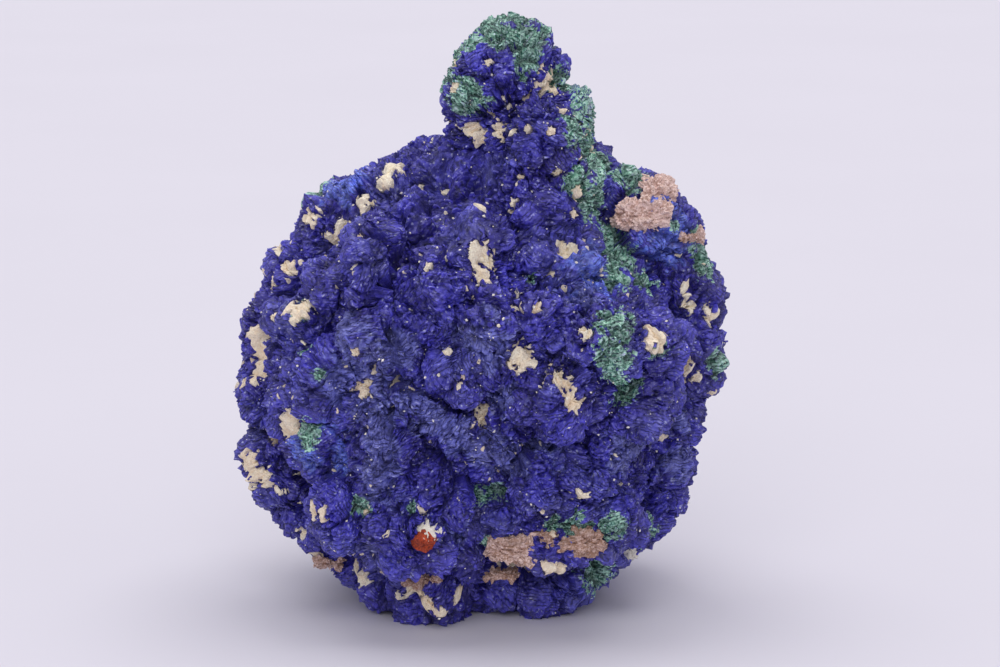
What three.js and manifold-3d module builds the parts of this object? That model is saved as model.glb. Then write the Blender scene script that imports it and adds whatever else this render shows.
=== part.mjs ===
// Azurite specimen: one grown-together nodule of crystal cushions, with a knobbed column on top.
// Millimetres, +Z up, the broken flat rest face on z = 0. The better side faces -Y.

import * as THREE from "three";
import { mergeVertices } from "three/addons/utils/BufferGeometryUtils.js";
import Module from "manifold-3d";

const wasm = await Module();
wasm.setup();

// Driving dimensions: the body that everything grows on, and the middle of the column above it.
const NODULE_CENTRE = [-0.5, 1, 24];
const NODULE_HALF = [21.5, 14.5, 21.5];
const COLUMN_CENTRE = [3.2, -0.4, 48.4];

// Facets along an edge of the icosahedron that each surface starts from.
const NODULE_DETAIL = 15;
const COLUMN_DETAIL = 8;

// A cushion is sunk into the mass it grows on by this share of its radius, alone or in a roll.
const CUSHION_SINK = 0.38;
const ROLL_SINK = 0.2;

// The crust swells and dips by this share of its distance from the middle, in waves along three directions.
const CRUST_SWELL = 0.012;
const CRUST_WAVES = [[9, 0, 5], [-4, 11, 0], [0, 6, 13]];

// Corners of a surface closer together than this are one corner.
const SAME_CORNER = 1e-5;

// Lobes are ellipsoids: centre, then half-size along X, Y and Z.
const NODULE_MASSES = {
  nodule: [NODULE_CENTRE, NODULE_HALF],
  front_right: [[8, -6.5, 27], [10, 9.5, 9.5]],
  front_centre: [[-2, -5.5, 31], [8.5, 9.5, 11]],
  front_ridge: [[-11.2, -6, 30], [4, 8.5, 11.5]],
  front_low_right: [[6.5, -5, 12.5], [9.5, 9, 7]],
  front_low_left: [[-8, -6, 14], [9, 9.8, 9.5]],
  left_flank: [[-16, -3, 24], [6.5, 8.5, 10]],
  steep_face: [[-2.5, -1, 42.8], [5.2, 5.2, 5.2]],
  back_high: [[3, 7, 31], [12, 11, 12]],
  back_left: [[-9, 6.5, 22], [12, 11, 13]],
  back_low: [[6, 8, 15], [11, 10, 10]],
  rest_pad: [[-1, 3.5, 4], [13.5, 12, 6]],
  back_foot: [[2, 9, 7], [11.5, 8, 6.8]],
  foot_left: [[-5.8, -6.6, 3.6], [5.2, 5, 5.4]],
  foot_left_outer: [[-9.6, -4.4, 4.4], [4.3, 4.6, 4.2]],
  foot_right: [[5.6, -4.4, 3.4], [5, 4.8, 4.8]],
};

const COLUMN_MASSES = {
  column_root: [[5, -2.4, 42.2], [6.8, 6.2, 6.8]],
  column: [[4.6, 0.2, 48], [6.2, 5.6, 6.4]],
  knob: [[1.6, 0.2, 54], [5.4, 5.3, 5.3]],
};

// Cushions along the outline: centre and radius.
const NODULE_EDGE_CUSHIONS = {
  shoulder_inner: [[-8.5, 0, 40.4], 5.6],
  shoulder_left: [[-12.8, 0, 38.9], 5.3],
  shoulder_outer: [[-15.3, -1, 38.4], 4.2],
  shoulder_matrix: [[14.8, -1, 39.7], 4.8],
  matrix_top: [[13.6, -1.8, 42.9], 2.7],
  matrix_side: [[17.3, -1.2, 39.6], 3],
  shoulder_right: [[17.4, 1, 37], 4.9],
  right_high: [[19, 0.5, 31.4], 5.2],
  right_middle: [[18.9, 0, 25.4], 5.5],
  right_waist: [[17.2, 0, 19.6], 5.2],
  right_low: [[16.6, -1, 14.2], 4.6],
  right_heel: [[14.7, -1, 9.6], 4.4],
  right_toe: [[10.6, -2, 6.0], 4.2],
  left_high: [[-17.2, 0.5, 32.5], 5.5],
  left_middle: [[-19.7, 0, 27.4], 5.4],
  left_waist: [[-20.2, 0, 21.6], 5.4],
  left_low: [[-20.2, 0, 15.8], 5.2],
  left_heel: [[-18.9, -1, 12.1], 4.8],
  left_side: [[-15.1, -1.6, 9], 4.9],
  left_toe: [[-11.6, -2.8, 6.1], 4.6],
};

const COLUMN_EDGE_CUSHIONS = {
  knob_left: [[-1.5, -1, 51.9], 3.35],
  knob_top: [[3.1, 0, 56.4], 3.7],
  knob_right: [[5.2, 0.4, 54.3], 3.1],
  knob_back: [[2, 3.4, 54.4], 3.6],
  column_front: [[5.6, -4.5, 48.2], 4.1],
  column_fan: [[8, 0.8, 50.4], 2.3],
  column_back: [[4.6, 3.6, 46.6], 4.4],
  column_side: [[9.4, 0.5, 44.4], 3.8],
  column_neck: [[-0.6, 0, 48.3], 3.6],
};

// Cushions of the front face: X, Z and radius. Their Y follows the mass behind them.
const FRONT_CUSHIONS = [
  [-6.7, 39.8, 3.4], [-0.7, 39, 3.6], [5.3, 40.6, 3.6],
  [-11.7, 36.4, 3.4], [4.3, 36.9, 3.4], [8.8, 36.4, 3.4], [-4.7, 34.8, 3.6],
  [-17.4, 31, 3.4], [-11.5, 30.6, 3.6], [-6.7, 29.9, 3.4], [0.3, 32.1, 3.6], [5.3, 32, 3.4], [11.3, 30, 4.2],
  [16, 29.4, 4], [-2.7, 27.6, 4], [2.8, 27.2, 3.6], [6.8, 24.6, 4.6], [15, 23.8, 4.4],
  [-15, 25.2, 5], [-11.7, 23.3, 3.8], [-7.2, 24.4, 2.7], [-4, 21.4, 2.7], [-0.6, 18.2, 2.7],
  [1.6, 21.4, 3.2], [11.3, 19.2, 4.2], [-15.6, 18.4, 4.2], [-8.7, 18.7, 4],
  [-4.2, 14.8, 3.6], [5.8, 15.5, 4.5], [9.6, 14.3, 3.4], [-13.6, 12.2, 4.4], [1.3, 11.7, 3.4],
  [12.3, 11.8, 4.2], [-7.7, 10.4, 4.4], [-3.2, 8.6, 3.4], [6.8, 9.2, 3.4],
  [-14.6, 33.4, 3.6], [-19.6, 30.6, 3.2], [0.6, 7, 3.4],
];

// Rolls of small cushions across the front face: X and Z of the first and last, radius and count.
const ROLLS = [
  [-7.3, 24, 3.4, 17.2, 2.35, 12],
  [-10, 30.2, -10.4, 15.6, 2.25, 11],
];

// The back is covered by cushions on a golden spiral, each a little different in size.
const BACK_COUNT = 44;
const BACK_RADIUS = 4.4;
const BACK_RADIUS_SWING = 0.9;
const BACK_RADIUS_TURN = 2.4;
const BACK_FROM_Y = 0.12;
const GOLDEN_ANGLE = Math.PI * (3 - Math.sqrt(5));

const azurite = new THREE.MeshStandardMaterial({ color: 0x2a2390, roughness: 0.6, metalness: 0 });

// Distances at which a ray from origin along direction enters and leaves an ellipsoid, or null.
function crossings([centre, half], origin, direction) {
  const o = origin.map((v, k) => (v - centre[k]) / half[k]);
  const d = direction.map((v, k) => v / half[k]);
  const a = d[0] ** 2 + d[1] ** 2 + d[2] ** 2;
  const b = o[0] * d[0] + o[1] * d[1] + o[2] * d[2];
  const c = o[0] ** 2 + o[1] ** 2 + o[2] ** 2 - 1;
  const disc = b * b - a * c;
  return disc < 0 ? null : [(-b - Math.sqrt(disc)) / a, (-b + Math.sqrt(disc)) / a];
}

// Farthest point that a ray from origin reaches in any of the lobes.
function reach(lobes, origin, direction) {
  const hits = lobes.map((lobe) => crossings(lobe, origin, direction)).filter(Boolean);
  return Math.max(...hits.map((hit) => hit[1]));
}

const dot = (a, b) => a[0] * b[0] + a[1] * b[1] + a[2] * b[2];
const roundLobe = ([centre, radius]) => [centre, [radius, radius, radius]];
const noduleMasses = Object.values(NODULE_MASSES);
const columnMasses = Object.values(COLUMN_MASSES);

// A cushion on the foremost of the given lobes at its place, sunk into it by a share of its radius.
function frontCushion(lobes, [x, z, radius], sink) {
  const surface = -reach(lobes, [x, 0, z], [0, -1, 0]);
  return roundLobe([[x, surface + sink * radius, z], radius]);
}

// A roll's cushions, evenly spaced from its first to its last.
function rollPlaces([x0, z0, x1, z1, radius, count]) {
  return Array.from({ length: count }, (_, i) => {
    const t = i / (count - 1);
    return [x0 + (x1 - x0) * t, z0 + (z1 - z0) * t, radius];
  });
}

// Back cushions sit where a ray from the nodule's centre leaves the outermost mass.
function backCushion(i) {
  const y = BACK_FROM_Y + (1 - BACK_FROM_Y) * ((i + 0.5) / BACK_COUNT);
  const ring = Math.sqrt(1 - y * y);
  const turn = i * GOLDEN_ANGLE;
  const direction = [ring * Math.cos(turn), y, ring * Math.sin(turn)];
  const radius = BACK_RADIUS + BACK_RADIUS_SWING * Math.sin(BACK_RADIUS_TURN * i);
  const distance = reach(noduleMasses, NODULE_CENTRE, direction) - CUSHION_SINK * radius;
  return roundLobe([NODULE_CENTRE.map((v, k) => v + direction[k] * distance), radius]);
}

function bareShape(shape) {
  shape.deleteAttribute("normal");
  shape.deleteAttribute("uv");
  return mergeVertices(shape, SAME_CORNER);
}

function toSolid(shape) {
  const vertProperties = new Float32Array(shape.attributes.position.array);
  const triVerts = new Uint32Array(shape.index.array);
  return new wasm.Manifold(new wasm.Mesh({ numProp: 3, vertProperties, triVerts }));
}

// The outer surface of a heap of lobes, as seen from a point inside all of the heap's necks.
function crust(lobes, centre, detail) {
  const shape = bareShape(new THREE.IcosahedronGeometry(1, detail));
  const points = shape.attributes.position;
  for (let i = 0; i < points.count; i++) {
    const direction = [points.getX(i), points.getY(i), points.getZ(i)];
    const [first, second, third] = CRUST_WAVES.map((wave) => Math.sin(dot(wave, direction)));
    const swell = first * second + third;
    const distance = reach(lobes, centre, direction) * (1 + CRUST_SWELL * swell);
    points.setXYZ(i, ...direction.map((v, k) => centre[k] + v * distance));
  }
  return toSolid(shape);
}

// Everything below the rest plane is broken off flat.
function belowRestPlane() {
  const span = 4 * NODULE_HALF[0];
  const shape = bareShape(new THREE.BoxGeometry(span, span, span));
  shape.translate(0, 0, -span / 2);
  return toSolid(shape);
}

function toGeometry(solid) {
  const mesh = solid.getMesh();
  const geometry = new THREE.BufferGeometry();
  geometry.setAttribute("position", new THREE.BufferAttribute(mesh.vertProperties, 3));
  geometry.setIndex(new THREE.BufferAttribute(mesh.triVerts, 1));
  return geometry;
}

const frontLobes = [
  ...noduleMasses,
  ...Object.values(NODULE_EDGE_CUSHIONS).map(roundLobe),
  ...FRONT_CUSHIONS.map((place) => frontCushion(noduleMasses, place, CUSHION_SINK)),
];
const noduleLobes = [
  ...frontLobes,
  ...ROLLS.flatMap(rollPlaces).map((place) => frontCushion(frontLobes, place, ROLL_SINK)),
  ...Array.from({ length: BACK_COUNT }, (_, i) => backCushion(i)),
];
const columnLobes = [...columnMasses, ...Object.values(COLUMN_EDGE_CUSHIONS).map(roundLobe)];

const nodule = crust(noduleLobes, NODULE_CENTRE, NODULE_DETAIL);
const column = crust(columnLobes, COLUMN_CENTRE, COLUMN_DETAIL);
const body = nodule.add(column).subtract(belowRestPlane());

const specimen = new THREE.Group();
const azuriteNodule = new THREE.Mesh(toGeometry(body), azurite);
azuriteNodule.name = "azurite_nodule";
specimen.add(azuriteNodule);

export default specimen;
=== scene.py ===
"""Azurite specimen: cushions of blue crystal, malachite, clay and rock, grown together into one nodule.

All lengths in the tables below are model millimetres: the frame's height is HEIGHT_MM of them, and UNIT
turns them into the frame's metres. +Z is up, the better side faces -Y, and the broken rest face is at z = 0.
"""

import bpy
import numpy as np
from bpy.props import FloatProperty, FloatVectorProperty, IntProperty, PointerProperty
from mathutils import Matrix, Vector


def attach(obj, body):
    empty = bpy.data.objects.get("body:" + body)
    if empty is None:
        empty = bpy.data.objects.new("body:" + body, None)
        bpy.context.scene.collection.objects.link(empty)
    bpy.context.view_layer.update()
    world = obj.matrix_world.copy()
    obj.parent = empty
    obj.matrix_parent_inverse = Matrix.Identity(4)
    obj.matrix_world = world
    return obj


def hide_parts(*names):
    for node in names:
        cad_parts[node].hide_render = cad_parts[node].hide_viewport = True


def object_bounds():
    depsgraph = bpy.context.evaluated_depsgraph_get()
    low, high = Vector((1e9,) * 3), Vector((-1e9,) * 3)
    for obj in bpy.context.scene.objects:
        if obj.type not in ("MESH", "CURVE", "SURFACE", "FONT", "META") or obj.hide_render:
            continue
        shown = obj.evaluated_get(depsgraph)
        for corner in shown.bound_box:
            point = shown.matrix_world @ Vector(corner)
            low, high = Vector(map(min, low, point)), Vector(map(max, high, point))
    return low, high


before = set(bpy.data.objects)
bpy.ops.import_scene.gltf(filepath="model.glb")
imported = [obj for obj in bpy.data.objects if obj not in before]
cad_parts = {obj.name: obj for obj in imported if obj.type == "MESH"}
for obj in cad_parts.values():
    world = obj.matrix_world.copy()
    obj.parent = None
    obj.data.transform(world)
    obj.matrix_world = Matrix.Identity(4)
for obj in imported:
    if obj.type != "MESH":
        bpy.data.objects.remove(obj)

CAD_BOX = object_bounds()
NODE = "azurite_nodule"
HEIGHT_MM = 60.1
UNIT = (CAD_BOX[1][2] - CAD_BOX[0][2]) / HEIGHT_MM

bl_info = {
    "name": "Azurite Specimen",
    "version": (1, 0, 0),
    "blender": (4, 5, 0),
    "location": "3D View > Sidebar > Azurite",
    "description": "Builds an azurite nodule from cushions of crystal blades, malachite, clay and rock",
    "category": "Add Mesh",
}

GOLDEN_ANGLE = np.pi * (3 - np.sqrt(5))
UP = np.array([0.0, 0.0, 1.0])
TO_FRONT = np.array([0.0, -1.0, 0.0])

# The name under which a piece brings its own layout for baked colours, and the margin round each cell of it.
OWN_MAP = "OFBake"
CELL_MARGIN = 0.06

# ---------------------------------------------------------------- the nodule's form

NODULE_CENTRE = np.array([-0.5, 1, 24])
COLUMN_CENTRE = np.array([3.2, -0.4, 48.4])

# Big masses: centre, then half-size along X, Y and Z.
NODULE_MASSES = {
    "nodule": [(-0.5, 1, 24), (21.5, 14.5, 21.5)],
    "front_right": [(8, -6.5, 27), (10, 9.5, 9.5)],
    "front_centre": [(-2, -5.5, 31), (8.5, 9.5, 11)],
    "front_ridge": [(-11.2, -6, 30), (4, 8.5, 11.5)],
    "front_low_right": [(6.5, -5, 12.5), (9.5, 9, 7)],
    "front_low_left": [(-8, -6, 14), (9, 9.8, 9.5)],
    "left_flank": [(-16, -3, 24), (6.5, 8.5, 10)],
    "steep_face": [(-2.5, -1, 42.8), (5.2, 5.2, 5.2)],
    "back_high": [(3, 7, 31), (12, 11, 12)],
    "back_left": [(-9, 6.5, 22), (12, 11, 13)],
    "back_low": [(6, 8, 15), (11, 10, 10)],
    "rest_pad": [(-1, 3.5, 4), (13.5, 12, 6)],
    "back_foot": [(2, 9, 7), (11.5, 8, 6.8)],
    "foot_left": [(-5.8, -6.6, 3.6), (5.2, 5, 5.4)],
    "foot_left_outer": [(-9.6, -4.4, 4.4), (4.3, 4.6, 4.2)],
    "foot_right": [(5.6, -4.4, 3.4), (5.0, 4.8, 4.8)],
}
COLUMN_MASSES = {
    "column_root": [(5, -2.4, 42.2), (6.8, 6.2, 6.8)],
    "column": [(4.6, 0.2, 48), (6.2, 5.6, 6.4)],
    "knob": [(1.6, 0.2, 54), (5.4, 5.3, 5.3)],
}

# Cushions along the outline: centre and radius.
NODULE_EDGE_CUSHIONS = {
    "shoulder_inner": [(-8.5, 0, 40.4), 5.6],
    "shoulder_left": [(-12.8, 0, 38.9), 5.3],
    "shoulder_outer": [(-15.3, -1, 38.4), 4.2],
    "shoulder_matrix": [(14.8, -1, 39.7), 4.8],
    "matrix_top": [(13.6, -1.8, 42.9), 2.7],
    "matrix_side": [(17.3, -1.2, 39.6), 3.0],
    "shoulder_right": [(17.4, 1, 37), 4.9],
    "right_high": [(19, 0.5, 31.4), 5.2],
    "right_middle": [(18.9, 0, 25.4), 5.5],
    "right_waist": [(17.2, 0, 19.6), 5.2],
    "right_low": [(16.6, -1, 14.2), 4.6],
    "right_heel": [(14.7, -1, 9.6), 4.4],
    "right_toe": [(10.6, -2, 6.0), 4.2],
    "left_high": [(-17.2, 0.5, 32.5), 5.5],
    "left_middle": [(-19.7, 0, 27.4), 5.4],
    "left_waist": [(-20.2, 0, 21.6), 5.4],
    "left_low": [(-20.2, 0, 15.8), 5.2],
    "left_heel": [(-18.9, -1, 12.1), 4.8],
    "left_side": [(-15.1, -1.6, 9), 4.9],
    "left_toe": [(-11.6, -2.8, 6.1), 4.6],
}
COLUMN_EDGE_CUSHIONS = {
    "knob_left": [(-1.5, -1, 51.9), 3.35],
    "knob_top": [(3.1, 0, 56.4), 3.7],
    "knob_right": [(5.2, 0.4, 54.3), 3.1],
    "knob_back": [(2, 3.4, 54.4), 3.6],
    "column_front": [(5.6, -4.5, 48.2), 4.1],
    "column_fan": [(8.0, 0.8, 50.4), 2.3],
    "column_back": [(4.6, 3.6, 46.6), 4.4],
    "column_side": [(9.4, 0.5, 44.4), 3.8],
    "column_neck": [(-0.6, 0, 48.3), 3.6],
}

# Cushions of the front face, by row from the top: X, Z and radius.
FRONT_CUSHIONS = [
    (-6.7, 39.8, 3.4), (-0.7, 39, 3.6), (5.3, 40.6, 3.6), (-11.7, 36.4, 3.4), (4.3, 36.9, 3.4),
    (8.8, 36.4, 3.4), (-4.7, 34.8, 3.6), (-17.4, 31, 3.4), (-11.5, 30.6, 3.6), (-6.7, 29.9, 3.4),
    (0.3, 32.1, 3.6), (5.3, 32, 3.4), (11.3, 30, 4.2), (16, 29.4, 4), (-2.7, 27.6, 4), (2.8, 27.2, 3.6),
    (6.8, 24.6, 4.6), (15, 23.8, 4.4), (-15, 25.2, 5), (-11.7, 23.3, 3.8), (-7.2, 24.4, 2.7),
    (-4, 21.4, 2.7), (-0.6, 18.2, 2.7), (1.6, 21.4, 3.2), (11.3, 19.2, 4.2), (-15.6, 18.4, 4.2),
    (-8.7, 18.7, 4), (-4.2, 14.8, 3.6), (5.8, 15.5, 4.5), (9.6, 14.3, 3.4), (-13.6, 12.2, 4.4),
    (1.3, 11.7, 3.4), (12.3, 11.8, 4.2), (-7.7, 10.4, 4.4), (-3.2, 8.6, 3.4), (6.8, 9.2, 3.4),
    (-14.6, 33.4, 3.6), (-19.6, 30.6, 3.2), (0.6, 7, 3.4),
]
BACK_COUNT = 44
BACK_RADIUS = 4.4
BACK_RADIUS_SWING = 0.9
BACK_FROM_Y = 0.12
CUSHION_SINK = 0.38

# Rolls of small cushions in a row: X and Z of the first and last, radius and count.
ROLL_SINK = 0.2
ROLLS = [(-7.3, 24, 3.4, 17.2, 2.35, 12), (-10, 30.2, -10.4, 15.6, 2.25, 11)]

# The lobes are drawn in by DRAW_IN to make room for the relief on them, and join over a length of SOFT_JOIN.
DRAW_IN = 1.15
SOFT_JOIN = 0.65
WARP = 0.045
WARP_SIZE = 5.0
WARP_REACH = 20.0

# Relief of the crust: the size of its clumps and how high each kind stands.
CUSHION_SIZE, CUSHION_HEIGHT = 3.3, 1.15
KNOB_SIZE, KNOB_HEIGHT = 1.5, 0.36
PLATE_LENGTH, PLATE_PITCH, PLATE_HEIGHT = 1.15, 0.44, 0.26
GRAIN_SIZE, GRAIN_HEIGHT = 0.36, 0.1
TONE_SIZE, TONE_SEED = 6, 41
RELIEF_SEED = 101

# Noise that bends the cushions and the knobs on them: how far, and its size. The plates lean from the
# vertical by up to PLATE_LEAN.
CUSHION_BEND = 0.45, 2.2
KNOB_BEND = 0.15, 0.8
PLATE_LEAN = 1.1

# How finely the crust is divided along the edges of each face of the cube that its grid is bulged from, and
# by what angle the nodule's patches overlap.
NODULE_GRID = {"front": 305, "back": 240, "right": 210, "left": 210, "top": 165, "underside": 190}
COLUMN_GRID = 104
PATCH_OVERLAP = 0.006

# The grid's lines crowd together where the crust is steep: size of the trial grid, rounds, smoothing, and the
# share that stays even.
TRIAL_GRID = 96
TRIAL_ROUNDS = 3
TRIAL_SMOOTHING = 4
EVEN_SHARE = 0.25

# The steep face is velvety and nearly smooth: X, Z and radius.
CALM_FRONT = [(-2.4, 43.6, 4), (-5.2, 40.4, 2.6), (-1, 40, 2.4)]

# Weathered, greyer cushions: X, Z and radius.
WORN_FRONT = [
    (-11.4, 27, 2.4), (-13, 30.5, 2.2), (-10.4, 22.4, 2), (-1, 29.6, 2.6), (2.4, 25.2, 2),
    (13.4, 18.6, 2.6), (17.6, 21, 2.4), (6, 19, 2.2), (-14.2, 26, 2), (18.6, 15, 2), (-4.4, 11.6, 2),
    (9, 33.6, 2),
]
WORN_BACK = [(-12, 18, 3.4), (6, 36, 3), (14, 20, 3), (-2, 12, 3), (-10, 34, 2.6)]
WORN_ROLL_SHARE = 0.85

# A blade's outline, across and up, from one buried corner over the top to the other.
BLADE_ACROSS = np.array([-1.0, -0.9, -0.42, 0.48, 0.92, 1.0])
BLADE_UP = np.array([-1.0, 0.42, 1.0, 0.94, 0.38, -1.0])
BLADE_SINK = 0.28
BLADE_CORNERS = len(BLADE_ACROSS)

# Chips of crystal on the crust: the least and the most of each size.
CHIP_SEED = 11
CHIP_HEIGHT = 0.12, 0.5
CHIP_HALF_LENGTH = 0.15, 0.5
CHIP_THICKNESS = 0.1, 0.3

# How far the chips stray from lying level and from standing upright, and how bare the crust under one may be.
CHIP_SPREAD = 0.6
CHIP_TILT = 0.3
CHIP_BARE_LIMIT = 0.3

# ---------------------------------------------------------------- places of the minerals

# Malachite: X, Z and radius of each patch on the front.
GREEN_FRONT = [
    (2.6, 59, 2.4), (0.4, 58.7, 2.2), (4, 57.4, 1.8), (3.6, 55.8, 1.6), (-1.6, 57.6, 1.7),
    (-2.8, 56.4, 1.8), (-3.6, 54.6, 2.1), (-3.6, 52.8, 2), (-1.6, 52, 1.9), (0, 51, 1.3),
    (-0.6, 56.8, 1), (1.6, 57.6, 1.7), (3, 56.6, 1.4), (6.2, 54, 1.5), (7.6, 52.8, 1.8),
    (8.6, 51.4, 2.2), (9.4, 49.6, 2.4), (8, 49.2, 1.8), (8.6, 47.2, 2.3), (9.8, 45.4, 2.2),
    (8.6, 43.8, 1.8), (9.8, 42.2, 2.1), (11, 40.2, 2), (11.6, 38.2, 1.8), (12.4, 36.4, 1.9),
    (12.2, 34.2, 1.6), (14.6, 33.6, 1.5), (12.6, 31.8, 1.9), (11.8, 29.4, 1.9), (11.2, 27.2, 1.4),
    (14.7, 24.9, 1.7), (18.6, 28.2, 1.5), (17.2, 26.6, 1.1), (15.8, 29, 1), (21.4, 36.2, 1.9),
    (21, 34.4, 1.4), (22.5, 25.5, 1.5), (19.8, 38, 0.9), (17, 38.8, 0.7), (-16.9, 42, 1.8),
    (-17.7, 31.8, 1.1), (-17.2, 27.8, 0.9), (-16.5, 20.2, 1.4), (-11.5, 14.3, 1.3), (1.2, 12.6, 1.4),
    (8.6, 11.6, 1.6), (12, 12.2, 1.5), (6, 12.4, 0.9), (15.4, 8.8, 1.5), (10.6, 4.6, 2.2),
    (12.4, 6, 1.3), (-0.8, 14.6, 0.7), (-7.6, 13, 0.6), (4.2, 35.8, 0.6), (-15.6, 26.4, 0.6),
    (0.6, 9.8, 0.7),
]
# The same on the back.
GREEN_BACK = [
    (3, 57, 3.4), (7, 50, 3), (9, 44, 2.6), (-12, 33, 2.4), (-9.5, 30, 2), (14, 27, 2.6), (12, 23.5, 2),
    (2, 20, 1.8), (-15, 14, 2.2), (7, 9, 2), (-3, 38, 1.8),
]
# Pale powdery blue.
POWDER_FRONT = [
    (16.3, 37.6, 2.8), (13, 37.6, 2), (10.3, 36, 2.4), (8.6, 36.6, 1.6), (-13.7, 42.6, 2.2),
    (-14.2, 21.8, 2.2), (-17.5, 18.5, 1.8), (-13.4, 17.2, 1.6), (14.8, 36.8, 1.6), (18, 36.8, 1.6),
]
POWDER_BACK = [(-6, 26, 3), (10, 33, 2.6), (5, 14, 2.4)]

# Cream clay caught between the cushions: X, Z and radius on the front, and on the back.
CLAY_FRONT = [
    (5.6, 52.6, 1.2), (4.2, 51.8, 0.45), (3.8, 51.2, 0.45), (1.7, 48.9, 0.75), (3.1, 49.1, 0.55),
    (4.4, 49.4, 0.4), (2, 51.4, 0.45), (1.7, 52.6, 0.4), (8.5, 48.9, 0.8), (8.8, 43, 0.7),
    (-3.4, 54.8, 0.6), (-2.9, 52.8, 0.6), (-3.9, 50.4, 0.7), (-1.2, 48.8, 0.9), (-2, 49.4, 0.6),
    (0.4, 55.4, 0.4), (-9, 44.2, 1), (-9.8, 43.4, 0.9), (-11.8, 41.2, 0.8), (-11.8, 40.2, 0.6),
    (-12.6, 37.4, 0.8), (-17.3, 40.2, 0.9), (-15.7, 39.6, 0.9), (-14.8, 40, 0.7), (-20.5, 33.5, 0.9),
    (-19.2, 34.5, 0.9), (-22.7, 31.2, 0.8), (-18.9, 31.8, 0.8), (-17.4, 32, 0.8), (-18, 31, 0.6),
    (-22.9, 28.3, 1.1), (-22.2, 26.4, 1.4), (-21.6, 24.9, 1.3), (-24.2, 25.6, 1), (-18.3, 21.9, 1),
    (-18.9, 20.6, 1.2), (-19.3, 19.6, 0.9), (-21.7, 17.6, 1.4), (-22.8, 15.6, 1.3), (-20.4, 14.7, 0.8),
    (-22.4, 13.6, 0.8), (-17, 15.4, 0.8), (-15.9, 13.6, 0.7), (-14.7, 13.6, 0.7), (-0.8, 38.3, 1.1),
    (-0.1, 38, 0.9), (-0.6, 35.8, 0.9), (7.6, 38.1, 1.1), (9, 38.4, 1), (2.2, 33.2, 0.6),
    (3.6, 32.9, 0.7), (4.8, 33.2, 0.5), (3.5, 28.3, 1.25), (7.3, 26.2, 1), (8, 24.6, 1),
    (-0.3, 22.4, 0.9), (8.5, 30.4, 0.6), (8.6, 29.2, 0.5), (15.4, 29.7, 1.2), (19.4, 32.7, 0.9),
    (20.6, 31.4, 0.7), (21.6, 30.2, 1), (18.5, 25.3, 0.9), (19.7, 23.7, 0.8), (19, 24.6, 0.5),
    (21.4, 24, 0.6), (22.2, 22.8, 0.6), (-11.4, 24.9, 0.85), (-10.2, 24.9, 0.85), (-10.1, 33.5, 0.8),
    (-8.9, 28, 0.4), (-8.8, 26.5, 0.4), (2.4, 7.2, 1), (4.4, 7.4, 0.9), (0.4, 7.8, 0.9),
    (6.4, 7.8, 0.9), (10.6, 8.2, 0.8), (6, 10.6, 0.7), (-3, 5, 1), (-4.6, 3.8, 0.9), (-7, 3.6, 0.8),
    (-16.2, 5.4, 0.8), (-14.8, 4.8, 0.9), (-13.2, 5, 0.8), (-13.5, 34.5, 0.5), (-15.5, 36.5, 0.4),
    (-12.2, 39, 0.4), (-16.3, 37.8, 0.5), (-19, 36.2, 0.5), (-20.8, 31, 0.5), (-21, 36, 0.6),
    (-23.8, 29.8, 0.5), (-24, 22.6, 0.7), (-24, 20, 0.8), (-23.6, 18.2, 0.7), (-20.5, 17.8, 0.6),
    (-18.6, 14.8, 0.7), (-19.5, 13, 0.6), (-17.3, 12.4, 0.5), (-14.9, 10, 0.5), (-11.7, 8.2, 0.5),
    (-9.5, 6.4, 0.6), (-12, 4.6, 0.9), (-18, 8.4, 0.6), (-5.4, 36.8, 0.4), (-3.8, 33, 0.35),
    (4.6, 36.2, 0.4), (1.4, 30.4, 0.4), (10.8, 27, 0.4), (5.6, 21.4, 0.4), (-2.6, 26.6, 0.35),
    (13.6, 21, 0.5), (17, 18.4, 0.5), (11.6, 16, 0.5), (19.6, 36.6, 0.5), (16.6, 34.4, 0.5),
    (6.6, 45.4, 0.5), (3.4, 44.6, 0.4), (7.2, 50.6, 0.5), (-2.4, 54.8, 0.4), (-0.2, 48, 0.7),
    (8, 41.6, 0.5), (10.6, 43.6, 0.4), (-6.4, 42.6, 0.5), (-4.4, 45, 0.4), (2.6, 41.8, 0.4),
    (6, 34.6, 0.4), (-8.4, 2.6, 0.8), (-6, 2.4, 0.7), (-5.2, 6.2, 0.8), (-9.8, 4.6, 0.6),
    (-3.8, 6.8, 0.6), (-1.8, 6.4, 0.5), (-17.2, 4.6, 0.7), (-16.8, 6.6, 0.6), (-11, 6.2, 0.5),
    (9.2, 14.6, 0.8), (8.4, 15.2, 0.5), (4.4, 3.4, 0.5), (3.4, 52.6, 0.4), (3.6, 50.2, 0.4),
    (5.2, 51, 0.4), (1.2, 50.2, 0.4), (6.2, 49.2, 0.45), (3.2, 42.4, 0.5),
]
CLAY_BACK = [
    (-16, 30, 1.3), (-14.6, 28.6, 1), (-6, 36, 1.2), (3, 40, 1.1), (11, 38, 1.4), (9.6, 36.6, 0.9),
    (17, 22, 1.2), (4, 27, 1.5), (5.6, 25.8, 0.9), (-4, 18, 1.3), (-18, 19, 1.1), (-10, 10, 1.4),
    (-8.4, 9.4, 0.9), (13, 12, 1.3), (2, 5.5, 1.2), (5, 52.5, 0.9), (-1, 54, 0.8), (14, 31, 0.9),
]
CLAY_SWELL = 1.24
CLAY_SEED = 61

# The crust is hollowed by HOLLOW under clay and rock, and the skins close at CLAY_ROOT behind their places.
HOLLOW = 0.4
CLAY_ROOT = 2.6

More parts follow.
